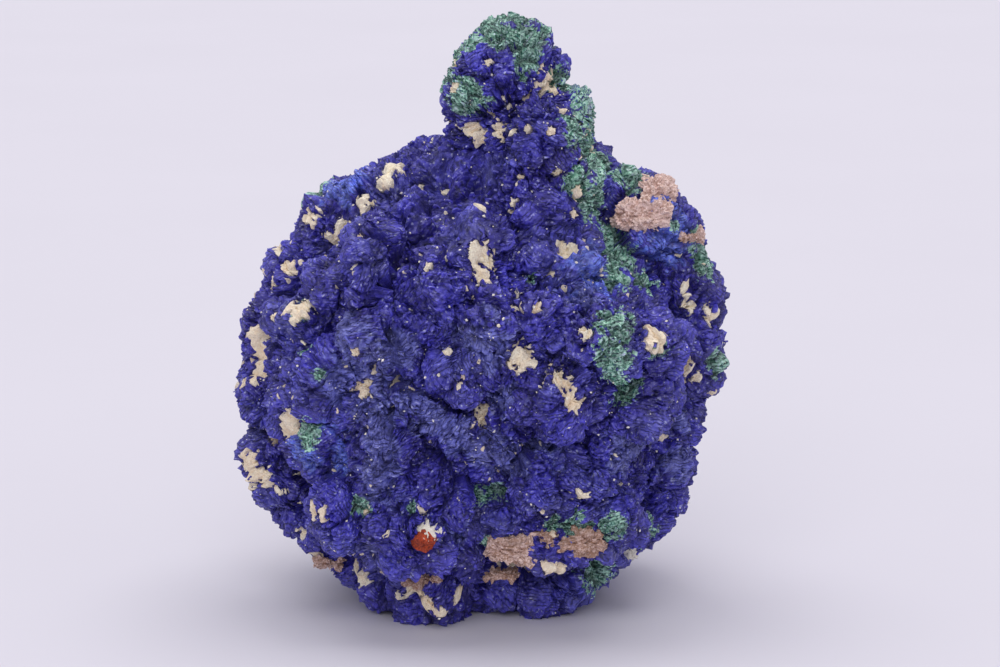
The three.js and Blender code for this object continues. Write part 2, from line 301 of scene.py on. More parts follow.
# Each kind of draped skin: rows and columns of its grid, then its mean edge in radii, how ragged the edge is,
# how proud the middle stands, how rough it is, and how far it dives where the crust isn't bare.
CLAY_SKIN = 9, 28, 1.6, 0.05, 0.06, 0.05, 0.7
SPECK_SKIN = 2, 9, 1.0, 0.24, 0.34, 0.05, 0
RIM_SKIN = 10, 36, 1.1, 0.1, 0.34, 0.1, 0
IRON_SKIN = 10, 32, 1.0, 0.1, 0.62, 0.1, 0

# Bare pinkish rock: centre and half-sizes of each block, how dark each one is, and the relief on them, as the
# size of its clumps and how high they stand.
ROCKS = [
    ((16.7, -3.4, 42.4), (1.9, 1.9, 2.1)), ((15.6, -4.5, 40.8), (2.8, 2.1, 1.7)),
    ((13.9, -5.1, 40.2), (1.6, 1.5, 1)), ((20.3, -2.2, 38.2), (1.2, 1.6, 0.7)),
    ((3.4, -12.7, 8.9), (3.6, 1.9, 1.5)), ((8.2, -12.7, 9.9), (3.6, 2.1, 1.5)),
    ((-7.5, 15.6, 14), (2.8, 2.2, 2.4)), ((7, 15.4, 9), (2.6, 2.2, 2)),
    ((-6.4, -11, 5.4), (1.9, 1.2, 0.8)), ((-15.9, -4.8, 5.2), (1.6, 1.2, 0.7)),
    ((1.6, -10.6, 5.6), (1.6, 1.2, 0.6)), ((6.2, -10.2, 11.4), (1.6, 1.6, 0.9)),
]
ROCK_WARMTH = [0.15, 0.1, 0.3, 0.7, 0.9, 1.4, 0.4, 0.6, 1.2, 0.9, 1.3, 1.2]
ROCK_RELIEF = [(1.3, 0.8), (0.62, 0.45), (0.3, 0.22)]
ROCK_PITS = 0.35
ROCK_GRID = 34, 60
ROCK_SEED = 71

# The lump of white crystals low on the right: centre and half-sizes.
WHITE_GRAIN = (14.3, -3.6, 6.3), (0.9, 1, 1.1)
WHITE_GRAIN_GRID = 22, 36

# The iron-stained spot and its pale rim: X, Z and radius.
IRON_SPOT = [(-7, 10.3, 1.25)]
IRON_RIM = [(-6.8, 10.7, 1.55)]
IRON_SEED = 75

# Thick plates fanned out on the column's right: the fan's centre, its turns from +X, and where they start.
FAN_CENTRE = np.array([7.3, -1.7, 50.9])
FAN_TURNS = np.radians(np.linspace(-56, 54, 10))
FAN_START = 0.9
FAN_SEED = 91

# How scattered things are shared between the nodule and the column, and how far they keep from the rest plane
# and from the inside of the other one.
NODULE_SHARE, COLUMN_SHARE = 0.86, 0.14
SCATTER_GAP = 0.3

# Tiny grains painted pale and glossy as glints of light, with the least size and how much larger they can be.
GLINT_GRAIN_SEED = 81
SMALLEST_GLINT_GRAIN, GLINT_GRAIN_SWING = 0.045, 0.1

# The floor reaches this many heights of the specimen each way. The lamps' colour is slightly warm.
FLOOR_SPAN = 60
LAMP_WHITE = 1.0, 0.98, 0.97

# Between which distances from a place, in its radii, an effect fades in: where it is smooth or ragged.
SOFT_EDGE = 1.2, 0.6
NARROW_EDGE = 1.1, 0.9

# The border of each mineral's places: the size of the noise on it, and how ragged that makes it, in radii.
BORDER_SEED = 21
BORDERS = {"mineral": (1.7, 0.24), "powder": (2.2, 0.3), "worn": (2.6, 0.35), "bare": (1.2, 0.3)}


class Lobes:
    """A heap of ellipsoids, held as arrays of centres and half-sizes."""

    def __init__(self, centres, halves):
        self.centres = np.asarray(centres, float).reshape(-1, 3)
        self.halves = np.asarray(halves, float).reshape(-1, 3)

    def joined(self, other):
        return Lobes(np.vstack([self.centres, other.centres]), np.vstack([self.halves, other.halves]))

    def exits(self, origins, ways):
        """Where each ray leaves each ellipsoid: the larger root of |(o + t d - c) / h| = 1, or nowhere."""
        o = (origins[:, None] - self.centres) / self.halves
        d = ways[:, None] / self.halves
        a = (d * d).sum(2)
        b = (o * d).sum(2)
        c = (o * o).sum(2) - 1
        disc = b * b - a * c
        return np.where(disc < 0, -np.inf, (np.sqrt(np.maximum(disc, 0)) - b) / a)

    def reach(self, origins, ways):
        """How far the heap reaches along each ray."""
        return in_blocks(lambda o, d: self.exits(o, d).max(1), origins, ways)

    def clearance(self, points):
        """How far each point is outside every ellipsoid: (|(p - c) / h| - 1) times the mean half-size."""
        mean = self.halves.mean(1)

        def gap(p):
            scaled = (p[:, None] - self.centres) / self.halves
            return ((np.sqrt((scaled * scaled).sum(2)) - 1) * mean).min(1)

        return in_blocks(gap, points)


class Heap:
    """Ellipsoids grown together round one centre, seen from it as one distance for each way."""

    def __init__(self, centre, lobes):
        self.centre = centre
        self.lobes = Lobes(lobes.centres, lobes.halves - DRAW_IN)

    def surface(self, ways):
        """Points and outward directions of the bare surface along the given ways from the centre.

        A ray leaves ellipsoid i at the distance e_i. The lobes join softly: the surface is at the distance
        s log(sum(exp(e_i / s))) with s = SOFT_JOIN, and its outward direction is the mean of the ellipsoids'
        own directions (p - c_i) / h_i^2 weighed by exp(e_i / s). Smooth noise bends the ways, so no lobe
        stays round.
        """
        bent = unit(ways + bend(ways * WARP_REACH + self.centre, WARP, WARP_SIZE, 1))

        def place(way, straight):
            exits = self.lobes.exits(np.broadcast_to(self.centre, way.shape), way)
            top = exits.max(1)
            weight = np.exp((exits - top[:, None]) / SOFT_JOIN)
            distance = (top + SOFT_JOIN * np.log(weight.sum(1)))[:, None]
            on = self.centre + way * distance
            each = unit((on[:, None] - self.lobes.centres) / self.lobes.halves**2)
            normal = unit((each * weight[..., None]).sum(1))
            return np.concatenate([self.centre + straight * distance, normal], 1)

        found = in_blocks(place, bent, ways)
        return found[:, :3], found[:, 3:]


def in_blocks(work, *arrays, block=4000):
    """work done on the arrays a block of rows at a time, to save memory."""
    return np.concatenate([work(*(a[i:i + block] for a in arrays)) for i in range(0, len(arrays[0]), block)])


def unit(v):
    """Each vector divided by its length."""
    return v / np.maximum(np.linalg.norm(v, axis=-1, keepdims=True), 1e-12)


def wander(points, size, seed, waves=7):
    """Smooth noise between about -1 and 1: sine waves of about that length in random directions."""
    rng = np.random.default_rng(seed)
    along = unit(rng.normal(size=(waves, 3))) * (2 * np.pi / size) * rng.uniform(0.7, 1.5, (waves, 1))
    return np.sin(points @ along.T + rng.uniform(0, 2 * np.pi, waves)).sum(1) / np.sqrt(waves)


def bend(points, reach, size, seed):
    """A smooth random shift of each point, up to about reach along each axis."""
    return reach * np.stack([wander(points, size, seed + k) for k in range(3)], 1)


def smoothstep(low, high, x):
    """3 t^2 - 2 t^3, where t is how far x is from low to high, kept from 0 to 1."""
    t = np.clip((x - low) / (high - low), 0, 1)
    return t * t * (3 - 2 * t)


def scrambled(cells, seed):
    """A repeatable random number from 0 to 1 for each whole-number cell: its bits multiplied and folded."""
    x, y, z = (cells[:, i].astype(np.uint32) for i in range(3))
    h = x * np.uint32(0x8DA6B343) ^ y * np.uint32(0xD8163841) ^ z * np.uint32(0xCB1AB31F)
    h = h ^ np.uint32(seed * 40503)
    h = (h ^ h >> np.uint32(15)) * np.uint32(0x2C1B3C6D)
    h = (h ^ h >> np.uint32(12)) * np.uint32(0x297A2D39)
    return (h ^ h >> np.uint32(15)) / 2.0**32


def clumps(points, size, seed):
    """Clumps about one seed point in each cell of a cubic grid of the given size.

    Gives how much farther the second nearest seed point is than the nearest, in cells, which is 0 on the
    border between two clumps and grows inwards, and a random number that is the same all over one clump.
    """
    at = points / size
    home = np.floor(at).astype(np.int64)
    nearest = np.full(len(at), 9.0)
    second = nearest.copy()
    mark = np.zeros(len(at))
    for step in np.ndindex(3, 3, 3):
        cell = home + np.array(step) - 1
        spot = np.stack([scrambled(cell, seed + k) for k in range(3)], 1)
        gap = np.sqrt(((cell + spot - at) ** 2).sum(1))
        closer = gap < nearest
        second = np.where(closer, nearest, np.minimum(second, gap))
        mark = np.where(closer, spot[:, 0], mark)
        nearest = np.where(closer, gap, nearest)
    return second - nearest, mark


def bulge(inner):
    """A rounded top that drops ever more steeply to a sharp crease where inner is 0."""
    return np.sqrt(np.clip(1.5 * inner, 0, 1))


def rows_of(table):
    """A table of named ellipsoids as lobes; a single number is a radius."""
    centres, halves = zip(*table.values())
    return Lobes(centres, [np.broadcast_to(half, 3) for half in halves])


def balls_at(surface, places, sink=CUSHION_SINK):
    """Balls whose radii are the places' third values, sunk into the surface by a share of that radius."""
    radius = np.array([p[2] for p in places], float)[:, None]
    return Lobes(surface - TO_FRONT * sink * radius, np.repeat(radius, 3, 1))


def face_places(lobes, places, side):
    """Points on the lobes' front (side -1) or back (side 1) at each X and Z, or at Y = 0 beside them."""
    x, z = np.array([p[:2] for p in places], float).T
    origins = np.stack([x, np.zeros(len(x)), z], 1)
    ahead = np.tile([0.0, side, 0.0], (len(x), 1))
    distance = lobes.reach(origins, ahead)
    distance = np.where(np.isfinite(distance), distance, 0)
    return origins + ahead * distance[:, None]


def roll_places():
    """X, Z and radius of the cushions in each roll, evenly spaced from the first to the last."""
    return [
        (x0 + (x1 - x0) * t, z0 + (z1 - z0) * t, radius)
        for x0, z0, x1, z1, radius, count in ROLLS for t in np.linspace(0, 1, count)
    ]


def back_cushions(masses):
    """Cushions on a golden spiral over the back, each sunk into the outermost mass on its ray."""
    i = np.arange(BACK_COUNT)
    y = BACK_FROM_Y + (1 - BACK_FROM_Y) * (i + 0.5) / BACK_COUNT
    ring = np.sqrt(1 - y * y)
    out = np.stack([ring * np.cos(i * GOLDEN_ANGLE), y, ring * np.sin(i * GOLDEN_ANGLE)], 1)
    radius = BACK_RADIUS + BACK_RADIUS_SWING * np.sin(2.4 * i)
    distance = masses.reach(np.tile(NODULE_CENTRE, (BACK_COUNT, 1)), out) - CUSHION_SINK * radius
    return Lobes(NODULE_CENTRE + out * distance[:, None], np.repeat(radius[:, None], 3, 1))


def nodule_lobes():
    """Masses, outline, front cushions, rolls on the front, and back cushions."""
    masses = rows_of(NODULE_MASSES)
    front = balls_at(face_places(masses, FRONT_CUSHIONS, -1), FRONT_CUSHIONS)
    lobes = masses.joined(rows_of(NODULE_EDGE_CUSHIONS)).joined(front)
    rolls = roll_places()
    lobes = lobes.joined(balls_at(face_places(lobes, rolls, -1), rolls, ROLL_SINK))
    return lobes.joined(back_cushions(masses))


NODULE = Heap(NODULE_CENTRE, nodule_lobes())
COLUMN = Heap(COLUMN_CENTRE, rows_of(COLUMN_MASSES).joined(rows_of(COLUMN_EDGE_CUSHIONS)))
HEAPS = [NODULE, COLUMN]


# ---------------------------------------------------------------- relief of the crust

def cushion_relief(points):
    """Height of the middling cushions and knobs on them, how far inside one each point is, and its mark."""
    bent = points + bend(points, *CUSHION_BEND, RELIEF_SEED)
    cushion, mark = clumps(bent, CUSHION_SIZE, RELIEF_SEED)
    knob, knob_mark = clumps(bent + bend(points, *KNOB_BEND, RELIEF_SEED + 5), KNOB_SIZE, RELIEF_SEED + 10)
    calm = 1 - 0.75 * nearness(points, EVEN, *SOFT_EDGE)
    height = CUSHION_HEIGHT * bulge(cushion) + KNOB_HEIGHT * (bulge(knob) + 0.7 * (knob_mark - 0.5))
    return calm * height, 0.6 * bulge(cushion) + 0.4 * bulge(knob), mark


def crystal_relief(points, mark, green):
    """Height of the stacked plates and grains, how far inside one each point is, and its place across them.

    The plates lie across a direction that is random for each cushion but near the vertical: clumps in a space
    that is squeezed along that direction, each at its own height, so they read as broken ribs.
    """
    turn = 2 * np.pi * np.modf(mark * 97.3)[0]
    lean = PLATE_LEAN * np.modf(mark * 31.7)[0]
    across = np.stack([np.sin(lean) * np.cos(turn), np.sin(lean) * np.sin(turn), np.cos(lean)], 1)
    along = (points * across).sum(1, keepdims=True)
    squeezed = points / PLATE_LENGTH + across * along * (1 / PLATE_PITCH - 1 / PLATE_LENGTH)
    plate, plate_mark = clumps(squeezed, 1.0, RELIEF_SEED + 20)
    grain, grain_mark = clumps(points, GRAIN_SIZE, RELIEF_SEED + 30)
    still = nearness(points, CALM, *SOFT_EDGE)
    calm = 1 - 0.6 * still
    plates = bulge(plate) + 1.3 * (plate_mark - 0.5)
    grains = bulge(grain) + 1.2 * (grain_mark - 0.5)
    swell = 1 + 0.4 * wander(points, 3.0, RELIEF_SEED + 40)
    height = PLATE_HEIGHT * plates * (1 - 0.6 * green) * calm * swell
    height += GRAIN_HEIGHT * grains * (1 + 0.9 * green)
    return height, 0.7 * bulge(plate) + 0.3 * bulge(grain), along[:, 0] * (1 - still)


def nearness(points, anchors, outer, inner, rough=None):
    """1 inside any anchor's radius and 0 outside, fading from outer to inner radii after rough is added."""
    centres, radii = anchors[0], anchors[-1]
    rough = np.zeros(len(points)) if rough is None else rough

    def weight(p, r):
        off = np.sqrt(((p[:, None] - centres) ** 2).sum(2)) / radii + r[:, None]
        return smoothstep(outer, inner, off).max(1)

    return in_blocks(weight, points, rough)


def crust(heap, ways):
    """The crust without its crystals: points, outward directions, how far inside a cushion, and its mark."""
    points, normals = heap.surface(ways)
    height, inner, mark = cushion_relief(points)
    return points + normals * height[:, None], normals, inner, mark


def on_heaps(toward, on_column, surface=crust):
    """Points and outward directions of each heap's surface on the way from its centre to the given points."""
    points, normals = np.empty_like(toward), np.empty_like(toward)
    for heap, mine in ((NODULE, ~on_column), (COLUMN, on_column)):
        if mine.any():
            points[mine], normals[mine] = surface(heap, unit(toward[mine] - heap.centre))[:2]
    return points, normals


def anchors_on(front, back=(), surface=crust):
    """Points and outward directions at the places of the front and back, the heap of each, and the radii."""
    at, on_column = [], []
    for places, side in ((front, -1), (back, 1)):
        if places:
            nodule, column = (face_places(heap.lobes, places, side) for heap in HEAPS)
            outer = (column[:, 1] - nodule[:, 1]) * side > 0
            beside = column[:, 1] == nodule[:, 1]
            outer |= beside & (COLUMN.lobes.clearance(column) < NODULE.lobes.clearance(nodule))
            at.append(np.where(outer[:, None], column, nodule))
            on_column.append(outer)
    at, on_column = np.vstack(at), np.concatenate(on_column)
    radii = np.array([p[2] for p in [*front, *back]], float)
    return *on_heaps(at, on_column, surface), on_column, radii


# Where the crystals are calmer, and where the cushions are. The relief itself depends on these two, so their
# anchors are on the bare surface.
CALM = anchors_on(CALM_FRONT, surface=Heap.surface)
EVEN = anchors_on(CALM_FRONT + roll_places(), surface=Heap.surface)


def scattered(count, seed):
    """Anchors scattered at random over the crust of both heaps, with none inside the other heap."""
    rng = np.random.default_rng(seed)
    found = []
    for heap, other, share in ((NODULE, COLUMN, NODULE_SHARE), (COLUMN, NODULE, COLUMN_SHARE)):
        ways = unit(rng.normal(size=(int(count * share), 3)))
        points, normals = crust(heap, ways)[:2]
        kept = (other.lobes.clearance(points) > SCATTER_GAP) & (points[:, 2] > SCATTER_GAP)
        found.append((points[kept], normals[kept], np.full(kept.sum(), heap is COLUMN)))
    return [np.concatenate(x) for x in zip(*found)]


def specks(tries):
    """Small scattered crumbs of clay, with a few larger ones among them."""
    points, normals, on_column = scattered(tries, CLAY_SEED)
    rng = np.random.default_rng(CLAY_SEED + 1)
    count = len(points)
    radii = 0.18 + 0.3 * rng.uniform(size=count) ** 2 + 0.35 * (rng.uniform(size=count) < 0.12)
    return points, normals, on_column, radii


WORN_ROLLS = [(x, z, WORN_ROLL_SHARE * radius) for x, z, radius in roll_places()]
*CLAY_PLACES, CLAY_RADII = anchors_on(CLAY_FRONT, CLAY_BACK)
CLAY = *CLAY_PLACES, CLAY_SWELL * CLAY_RADII
RIM = anchors_on(IRON_RIM)
PLACES = {
    "mineral": anchors_on(GREEN_FRONT, GREEN_BACK),
    "powder": anchors_on(POWDER_FRONT, POWDER_BACK),
    "worn": anchors_on(WORN_FRONT + WORN_ROLLS, WORN_BACK),
    "bare": [np.concatenate(x) for x in zip(CLAY, RIM)],
}


def cover(points, kind):
    """1 inside the places of one kind and 0 outside, with a narrow border that noise makes ragged."""
    size, amount = BORDERS[kind]
    fine = wander(points, 0.4 * size, BORDER_SEED + 1)
    rough = amount * (wander(points, size, BORDER_SEED) + 0.7 * fine)
    return nearness(points, PLACES[kind], *NARROW_EDGE, rough)


# ---------------------------------------------------------------- meshes

def add_piece(slot, name, points, sizes, corners, material, values, uv):
    """Makes a piece and ties it to the frame. The slot is not used.

    The arrays hold the points in model millimetres, how many corners each face has, all the corners, the
    values that the finish reads at each point, and each corner's place in the map. The piece rides on the one
    body and stands for the nodule.
    """
    mesh = bpy.data.meshes.new(name)
    mesh.vertices.add(len(points))
    mesh.vertices.foreach_set("co", (np.asarray(points) * UNIT).astype(np.float32).ravel())
    mesh.loops.add(len(corners))
    mesh.loops.foreach_set("vertex_index", np.asarray(corners, np.int32))
    mesh.polygons.add(len(sizes))
    starts = np.concatenate([[0], np.cumsum(sizes)[:-1]])
    mesh.polygons.foreach_set("loop_start", starts.astype(np.int32))
    mesh.polygons.foreach_set("use_smooth", np.zeros(len(sizes), bool))
    for key, value in values.items():
        layer = mesh.attributes.new(key, "FLOAT", "POINT")
        layer.data.foreach_set("value", np.asarray(value, np.float32))
    layer = mesh.uv_layers.new(name=OWN_MAP)
    layer.uv.foreach_set("vector", np.asarray(uv, np.float32).ravel())
    mesh.update(calc_edges=True)
    mesh.validate()
    piece = bpy.data.objects.new(name, mesh)
    bpy.context.scene.collection.objects.link(piece)
    mesh.materials.append(material)
    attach(piece, "root")
    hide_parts(NODE)


def face_corners(*corners):
    """Many faces' corners, from two values for each corner that are arrays or single numbers."""
    return np.stack([np.stack(np.broadcast_arrays(u, v), -1) for u, v in corners], 1)


def ball_faces(rows, columns):
    """Faces of a closed ball grid, seen from outside: a top point, rows of points and a bottom point."""
    k = np.arange(columns)
    after = (k + 1) % columns
    cap = np.stack([np.zeros(columns, int), 1 + k, 1 + after], 1)
    ring = (1 + np.arange(rows - 1) * columns)[:, None]
    quads = np.stack([ring + k, ring + columns + k, ring + columns + after, ring + after], 2).reshape(-1, 4)
    last = 1 + (rows - 1) * columns
    foot = np.stack([np.full(columns, last + columns), last + after, last + k], 1)
    sizes = np.concatenate([np.full(columns, 3), np.full(len(quads), 4), np.full(columns, 3)])
    return sizes, np.concatenate([cap.ravel(), quads.ravel(), foot.ravel()])


def ball_map(rows, columns):
    """Each corner of a ball grid's faces in a unit map cell: across by column and down by row."""
    k = np.arange(columns)
    left, right, middle = k / columns, (k + 1) / columns, (k + 0.5) / columns
    v = 1 - np.arange(rows + 2) / (rows + 1)
    cap = face_corners((middle, v[0]), (left, v[1]), (right, v[1]))
    rings = [
        face_corners((left, above), (left, below), (right, below), (right, above))
        for above, below in zip(v[1:-2], v[2:-1])
    ]
    foot = face_corners((middle, v[-1]), (right, v[-2]), (left, v[-2]))
    return np.vstack([x.reshape(-1, 2) for x in (cap, *rings, foot)])


def repeated(count, per_copy, sizes, corners):
    """The faces of count copies of a small mesh, one after the other."""
    shift = np.repeat(np.arange(count) * per_copy, len(corners))
    return np.tile(sizes, count), np.tile(corners, count) + shift


def cell_layout(count, local):
    """Map places of all copies: local holds one copy's in a unit cell, and the cells fill a square grid."""
    across = int(np.ceil(np.sqrt(count)))
    cell = np.stack([np.arange(count) % across, np.arange(count) // across], 1)
    inset = CELL_MARGIN + (1 - 2 * CELL_MARGIN) * local
    return ((cell[:, None] + inset[None]) / across).reshape(-1, 2)


# ---------------------------------------------------------------- crust

# The faces of a cube: the direction each one faces and its two edges, whose cross product that direction is.
CUBE = {
    "front": ((0, -1, 0), (1, 0, 0), (0, 0, 1)),
    "back": ((0, 1, 0), (-1, 0, 0), (0, 0, 1)),
    "right": ((1, 0, 0), (0, 1, 0), (0, 0, 1)),
    "left": ((-1, 0, 0), (0, -1, 0), (0, 0, 1)),
    "top": ((0, 0, 1), (1, 0, 0), (0, 1, 0)),
    "underside": ((0, 0, -1), (1, 0, 0), (0, -1, 0)),
}


def cube_ways(face, u, v):
    """Directions through turns u and v on one face of a cube: face + tan(u) edge + tan(v) other edge."""
    out, edge, other = (np.array(x, float) for x in face)
    return unit(out + np.tan(u)[..., None] * edge + np.tan(v)[..., None] * other).reshape(-1, 3)


def plain_turns(n, overlap=0.0):
    """Even turns u and v over a face of the cube, as two grids of n by n cells."""
    turns = np.linspace(-1, 1, n + 1) * (np.pi / 4 + overlap)
    return np.meshgrid(turns, turns, indexing="ij")


def resampled(values, have, want):
    """Each column of values, known at the places in the same column of have, read at the places want."""
    return np.stack([np.interp(want, place, value) for place, value in zip(have.T, values.T)], 1)


def crowded_turns(heap, face, n, overlap):
    """Turns u and v moved so that the grid's lines crowd where the crust is steep.

    On a coarse trial grid, each line's points slide along the line until they stand evenly by a length that
    is part surface length and part even steps, first one way and then the other, a few rounds. The trial
    grid's turns are then spread over the fine grid.
    """
    m = TRIAL_GRID
    turns = np.stack(plain_turns(m, overlap))
    want = np.linspace(0, 1, m + 1)
    for turn_axis in [0, 1] * TRIAL_ROUNDS:
        points = heap.surface(cube_ways(face, *turns))[0].reshape(m + 1, m + 1, 3)
        lines, turns = (points, turns) if turn_axis == 0 else (points.swapaxes(0, 1), turns.swapaxes(1, 2))
        step = np.linalg.norm(np.diff(lines, axis=0), axis=2)
        step = step + EVEN_SHARE * step.mean(0)
        for _ in range(TRIAL_SMOOTHING):
            padded = np.pad(step, ((0, 0), (1, 1)), "edge")
            step = (padded[:, :-2] + padded[:, 1:-1] + padded[:, 2:]) / 3
        length = np.vstack([np.zeros(m + 1), np.cumsum(step, 0)]) / step.sum(0)
        turns = np.stack([resampled(t, length, want) for t in turns])
        turns = turns if turn_axis == 0 else turns.swapaxes(1, 2)
    fine = np.linspace(0, 1, n + 1)
    rows = [resampled(t, np.tile(want[:, None], m + 1), fine) for t in turns]
    return np.stack([resampled(t.T, np.tile(want[:, None], n + 1), fine).T for t in rows])


def grid_faces(n):
    """Quads of a grid of n by n cells, and the place of each of their corners in a unit square."""
    i, j = (x.ravel() for x in np.meshgrid(np.arange(n), np.arange(n), indexing="ij"))
    ij = face_corners((i, j), (i + 1, j), (i + 1, j + 1), (i, j + 1))
    return ij[..., 0] * (n + 1) + ij[..., 1], ij / n


def crystal_points(heap, ways):
    """Crust points with their crystals on, and the values that the crystal finish reads.

    Under clay the crystals give way to a shallow hollow, so the clay's edge is where they rise through it.
    """
    points, normals, inner, mark = crust(heap, ways)
    green = cover(points, "mineral")
    height, plate, rib = crystal_relief(points, mark, green)
    bare = cover(points, "bare")
    height = height * (1 - bare) - HOLLOW * bare
    made = points + normals * height[:, None]
    made[:, 2] = np.maximum(made[:, 2], 0)
    tone = 0.45 + 0.2 * wander(points, TONE_SIZE, TONE_SEED) + 0.35 * (np.modf(mark * 53.1)[0] - 0.5)
    values = {
        "mineral": green,
        "powder": cover(points, "powder"),
        "worn": cover(points, "worn"),
        "tone": np.clip(tone, 0, 1),
        # rise is low at the borders of cushions and plates and high on their tops: the finish paints shade
        # where it is low and light where it is high.
        "rise": (0.4 + 0.6 * inner) * (0.25 + 0.75 * plate),
        "rib": rib,
    }
    return made, values


def build_nodule_crust(settings):
    """Six closed pieces: a patch of crust bulged from each face of a cube, with walls to the centre."""
    material = crystal_material("azurite_crust", settings)
    for name, face in CUBE.items():
        n = NODULE_GRID[name] // 1
        turns = crowded_turns(NODULE, face, n, PATCH_OVERLAP)
        points, values = crystal_points(NODULE, cube_ways(face, *turns))
        points = np.vstack([points, NODULE_CENTRE])
        values = {key: np.append(value, 0.5) for key, value in values.items()}
        sizes, corners, uv = sector_faces(n)
        add_piece("azurite", "crust_" + name, points, sizes, corners, material, values, uv)


def sector_faces(n):
    """Faces of a grid of n by n cells, closed by walls from its rim to one more point, and their map."""
    quads, places = grid_faces(n)
    k = np.arange(n)
    rim = np.concatenate([k * (n + 1), n * (n + 1) + k, (n - k) * (n + 1) + n, n - k])
    after = np.roll(rim, -1)
    apex = (n + 1) ** 2
    walls = np.stack([after, rim, np.full(len(rim), apex)], 1)
    sizes = np.concatenate([np.full(len(quads), 4), np.full(len(walls), 3)])
    strip = np.arange(4 * n) / (4 * n)
    wall_places = face_corners((strip, 0.0), (strip + 0.25 / n, 0.0), (strip + 0.12 / n, 0.01))
    inset = 0.02 + 0.96 * places
    uv = np.concatenate([inset.reshape(-1, 2), wall_places.reshape(-1, 2)])
    return sizes, np.concatenate([quads.ravel(), walls.ravel()]), uv


def build_column_crust(settings):
    """One closed piece: the six faces of the cube, bulged on to the column and welded along their edges."""
    n = COLUMN_GRID
    quads, places = grid_faces(n)
    count = (n + 1) ** 2
    ways = np.vstack([cube_ways(face, *plain_turns(n)) for face in CUBE.values()])
    first, weld = np.unique(np.round(ways, 9), axis=0, return_index=True, return_inverse=True)[1:]
    points, values = crystal_points(COLUMN, ways[first])
    corners = np.concatenate([weld.ravel()[quads.ravel() + k * count] for k in range(len(CUBE))])
    cells = np.array([(k % 3, k // 3) for k in range(len(CUBE))])
    uv = (cells[:, None] + 0.01 + 0.98 * places.reshape(1, -1, 2)) / 3
    sizes = np.full(len(corners) // 4, 4)
    material = crystal_material("azurite_crust", settings)
    add_piece("azurite", "crust_column", points, sizes, corners, material, values, uv.reshape(-1, 2))


# ---------------------------------------------------------------- crystal blades

def turned(v, axis, angle):
    """v turned about unit axes by angles: v cos + (axis x v) sin + axis (axis . v)(1 - cos)."""
    c, s = np.cos(angle)[:, None], np.sin(angle)[:, None]
    return v * c + np.cross(axis, v) * s + axis * (axis * v).sum(1, keepdims=True) * (1 - c)


def blade_points(rng, points, ups, alongs, height, half_length, thick):
    """The points of every blade: a thin plate with two buried corners, two shoulders and a top edge.

    In the blade's own axes the outline is (across, up): half-length times BLADE_ACROSS and height times
    BLADE_UP, each a little out of true, and BLADE_SINK deep at the buried corners. The two faces lie half a
    thickness to each side, closer together at the top.
    """
    count = len(points)
    sides = unit(np.cross(ups, alongs))
    across = half_length[:, None] * (BLADE_ACROSS + rng.normal(size=(count, BLADE_CORNERS)) * 0.07)
    risen = height[:, None] * (BLADE_UP + rng.normal(size=(count, BLADE_CORNERS)) * 0.1)
    up = np.where(BLADE_UP < 0, -BLADE_SINK, risen)
    half_thick = thick[:, None] * 0.5 * np.where(BLADE_UP < 0, 1.0, 0.72)
    flat = points[:, None] + alongs[:, None] * across[..., None] + ups[:, None] * up[..., None]
    offset = sides[:, None] * half_thick[..., None]
    made = np.stack([flat + offset, flat - offset], 1)
    made[..., 2] = np.maximum(made[..., 2], 0)
    return made.reshape(count, 2 * BLADE_CORNERS, 3)


def blade_faces():
    """One blade's faces: two plates and the rim quads between them, and their places in a unit map cell."""
    k = np.arange(BLADE_CORNERS)
    after = (k + 1) % BLADE_CORNERS
    rim = np.stack([k, BLADE_CORNERS + k, BLADE_CORNERS + after, after], 1)
    corners = np.concatenate([k, BLADE_CORNERS + k[::-1], rim.ravel()])
    sizes = np.array([BLADE_CORNERS] * 2 + [4] * BLADE_CORNERS)
    x = (BLADE_ACROSS + 1) / 2
    y = np.where(BLADE_UP < 0, 0, 0.25 + 0.75 * np.maximum(BLADE_UP, 0))
    plate = np.stack([0.4 * x, y], 1)
    other = np.stack([0.8 - 0.4 * x, y], 1)[::-1]
    low, high = k / BLADE_CORNERS, (k + 1) / BLADE_CORNERS
    strips = face_corners((0.82, low), (1.0, low), (1.0, high), (0.82, high))
    return sizes, corners, np.concatenate([plate, other, strips.reshape(-1, 2)])


def blade_parts(made, values, finish, settings):
    """What add_piece needs for a piece of many blades, each with its own cell of the map."""
    sizes, corners, local = blade_faces()
    sizes, corners = repeated(len(made), 2 * BLADE_CORNERS, sizes, corners)
    material = crystal_material(finish, settings)
    return made.reshape(-1, 3), sizes, corners, material, values, cell_layout(len(made), local)


def build_blades(settings):
    """Chips of crystal that stand up from the crust here and there, most of them lying nearly level."""
    rng = np.random.default_rng(CHIP_SEED)
    points, normals = scattered(settings.chip_count, CHIP_SEED)[:2]
    kept = cover(points, "bare") < CHIP_BARE_LIMIT
    points, normals = points[kept], normals[kept]
    count = len(points)
    alongs = unit(np.cross(normals, unit(rng.normal(size=points.shape) * CHIP_SPREAD + UP)))
    ups = turned(normals, alongs, rng.normal(size=count) * CHIP_TILT)
    sizes = [rng.uniform(*bounds, count) for bounds in (CHIP_HEIGHT, CHIP_HALF_LENGTH, CHIP_THICKNESS)]
    made = blade_points(rng, points, ups, alongs, *sizes)
    # Painted shade and light: the buried corners get a low rise, so the finish darkens the foot of each chip,
    # and the top a high one, so it pales.
    rise = np.where(BLADE_UP < 0, 0.3, 0.45 + 0.5 * np.maximum(BLADE_UP, 0))
    values = {kind: cover(points, kind) for kind in ("mineral", "powder", "worn")}
    values["tone"] = rng.uniform(0.2, 1.0, count)
    values["rib"] = rng.uniform(0, 9, count)
    values = {key: np.repeat(value, 2 * BLADE_CORNERS) for key, value in values.items()}
    values["rise"] = np.tile(rise, 2 * count)
    add_piece("azurite", "crystal_chips", *blade_parts(made, values, "azurite_blades", settings))


# ---------------------------------------------------------------- clay and rock

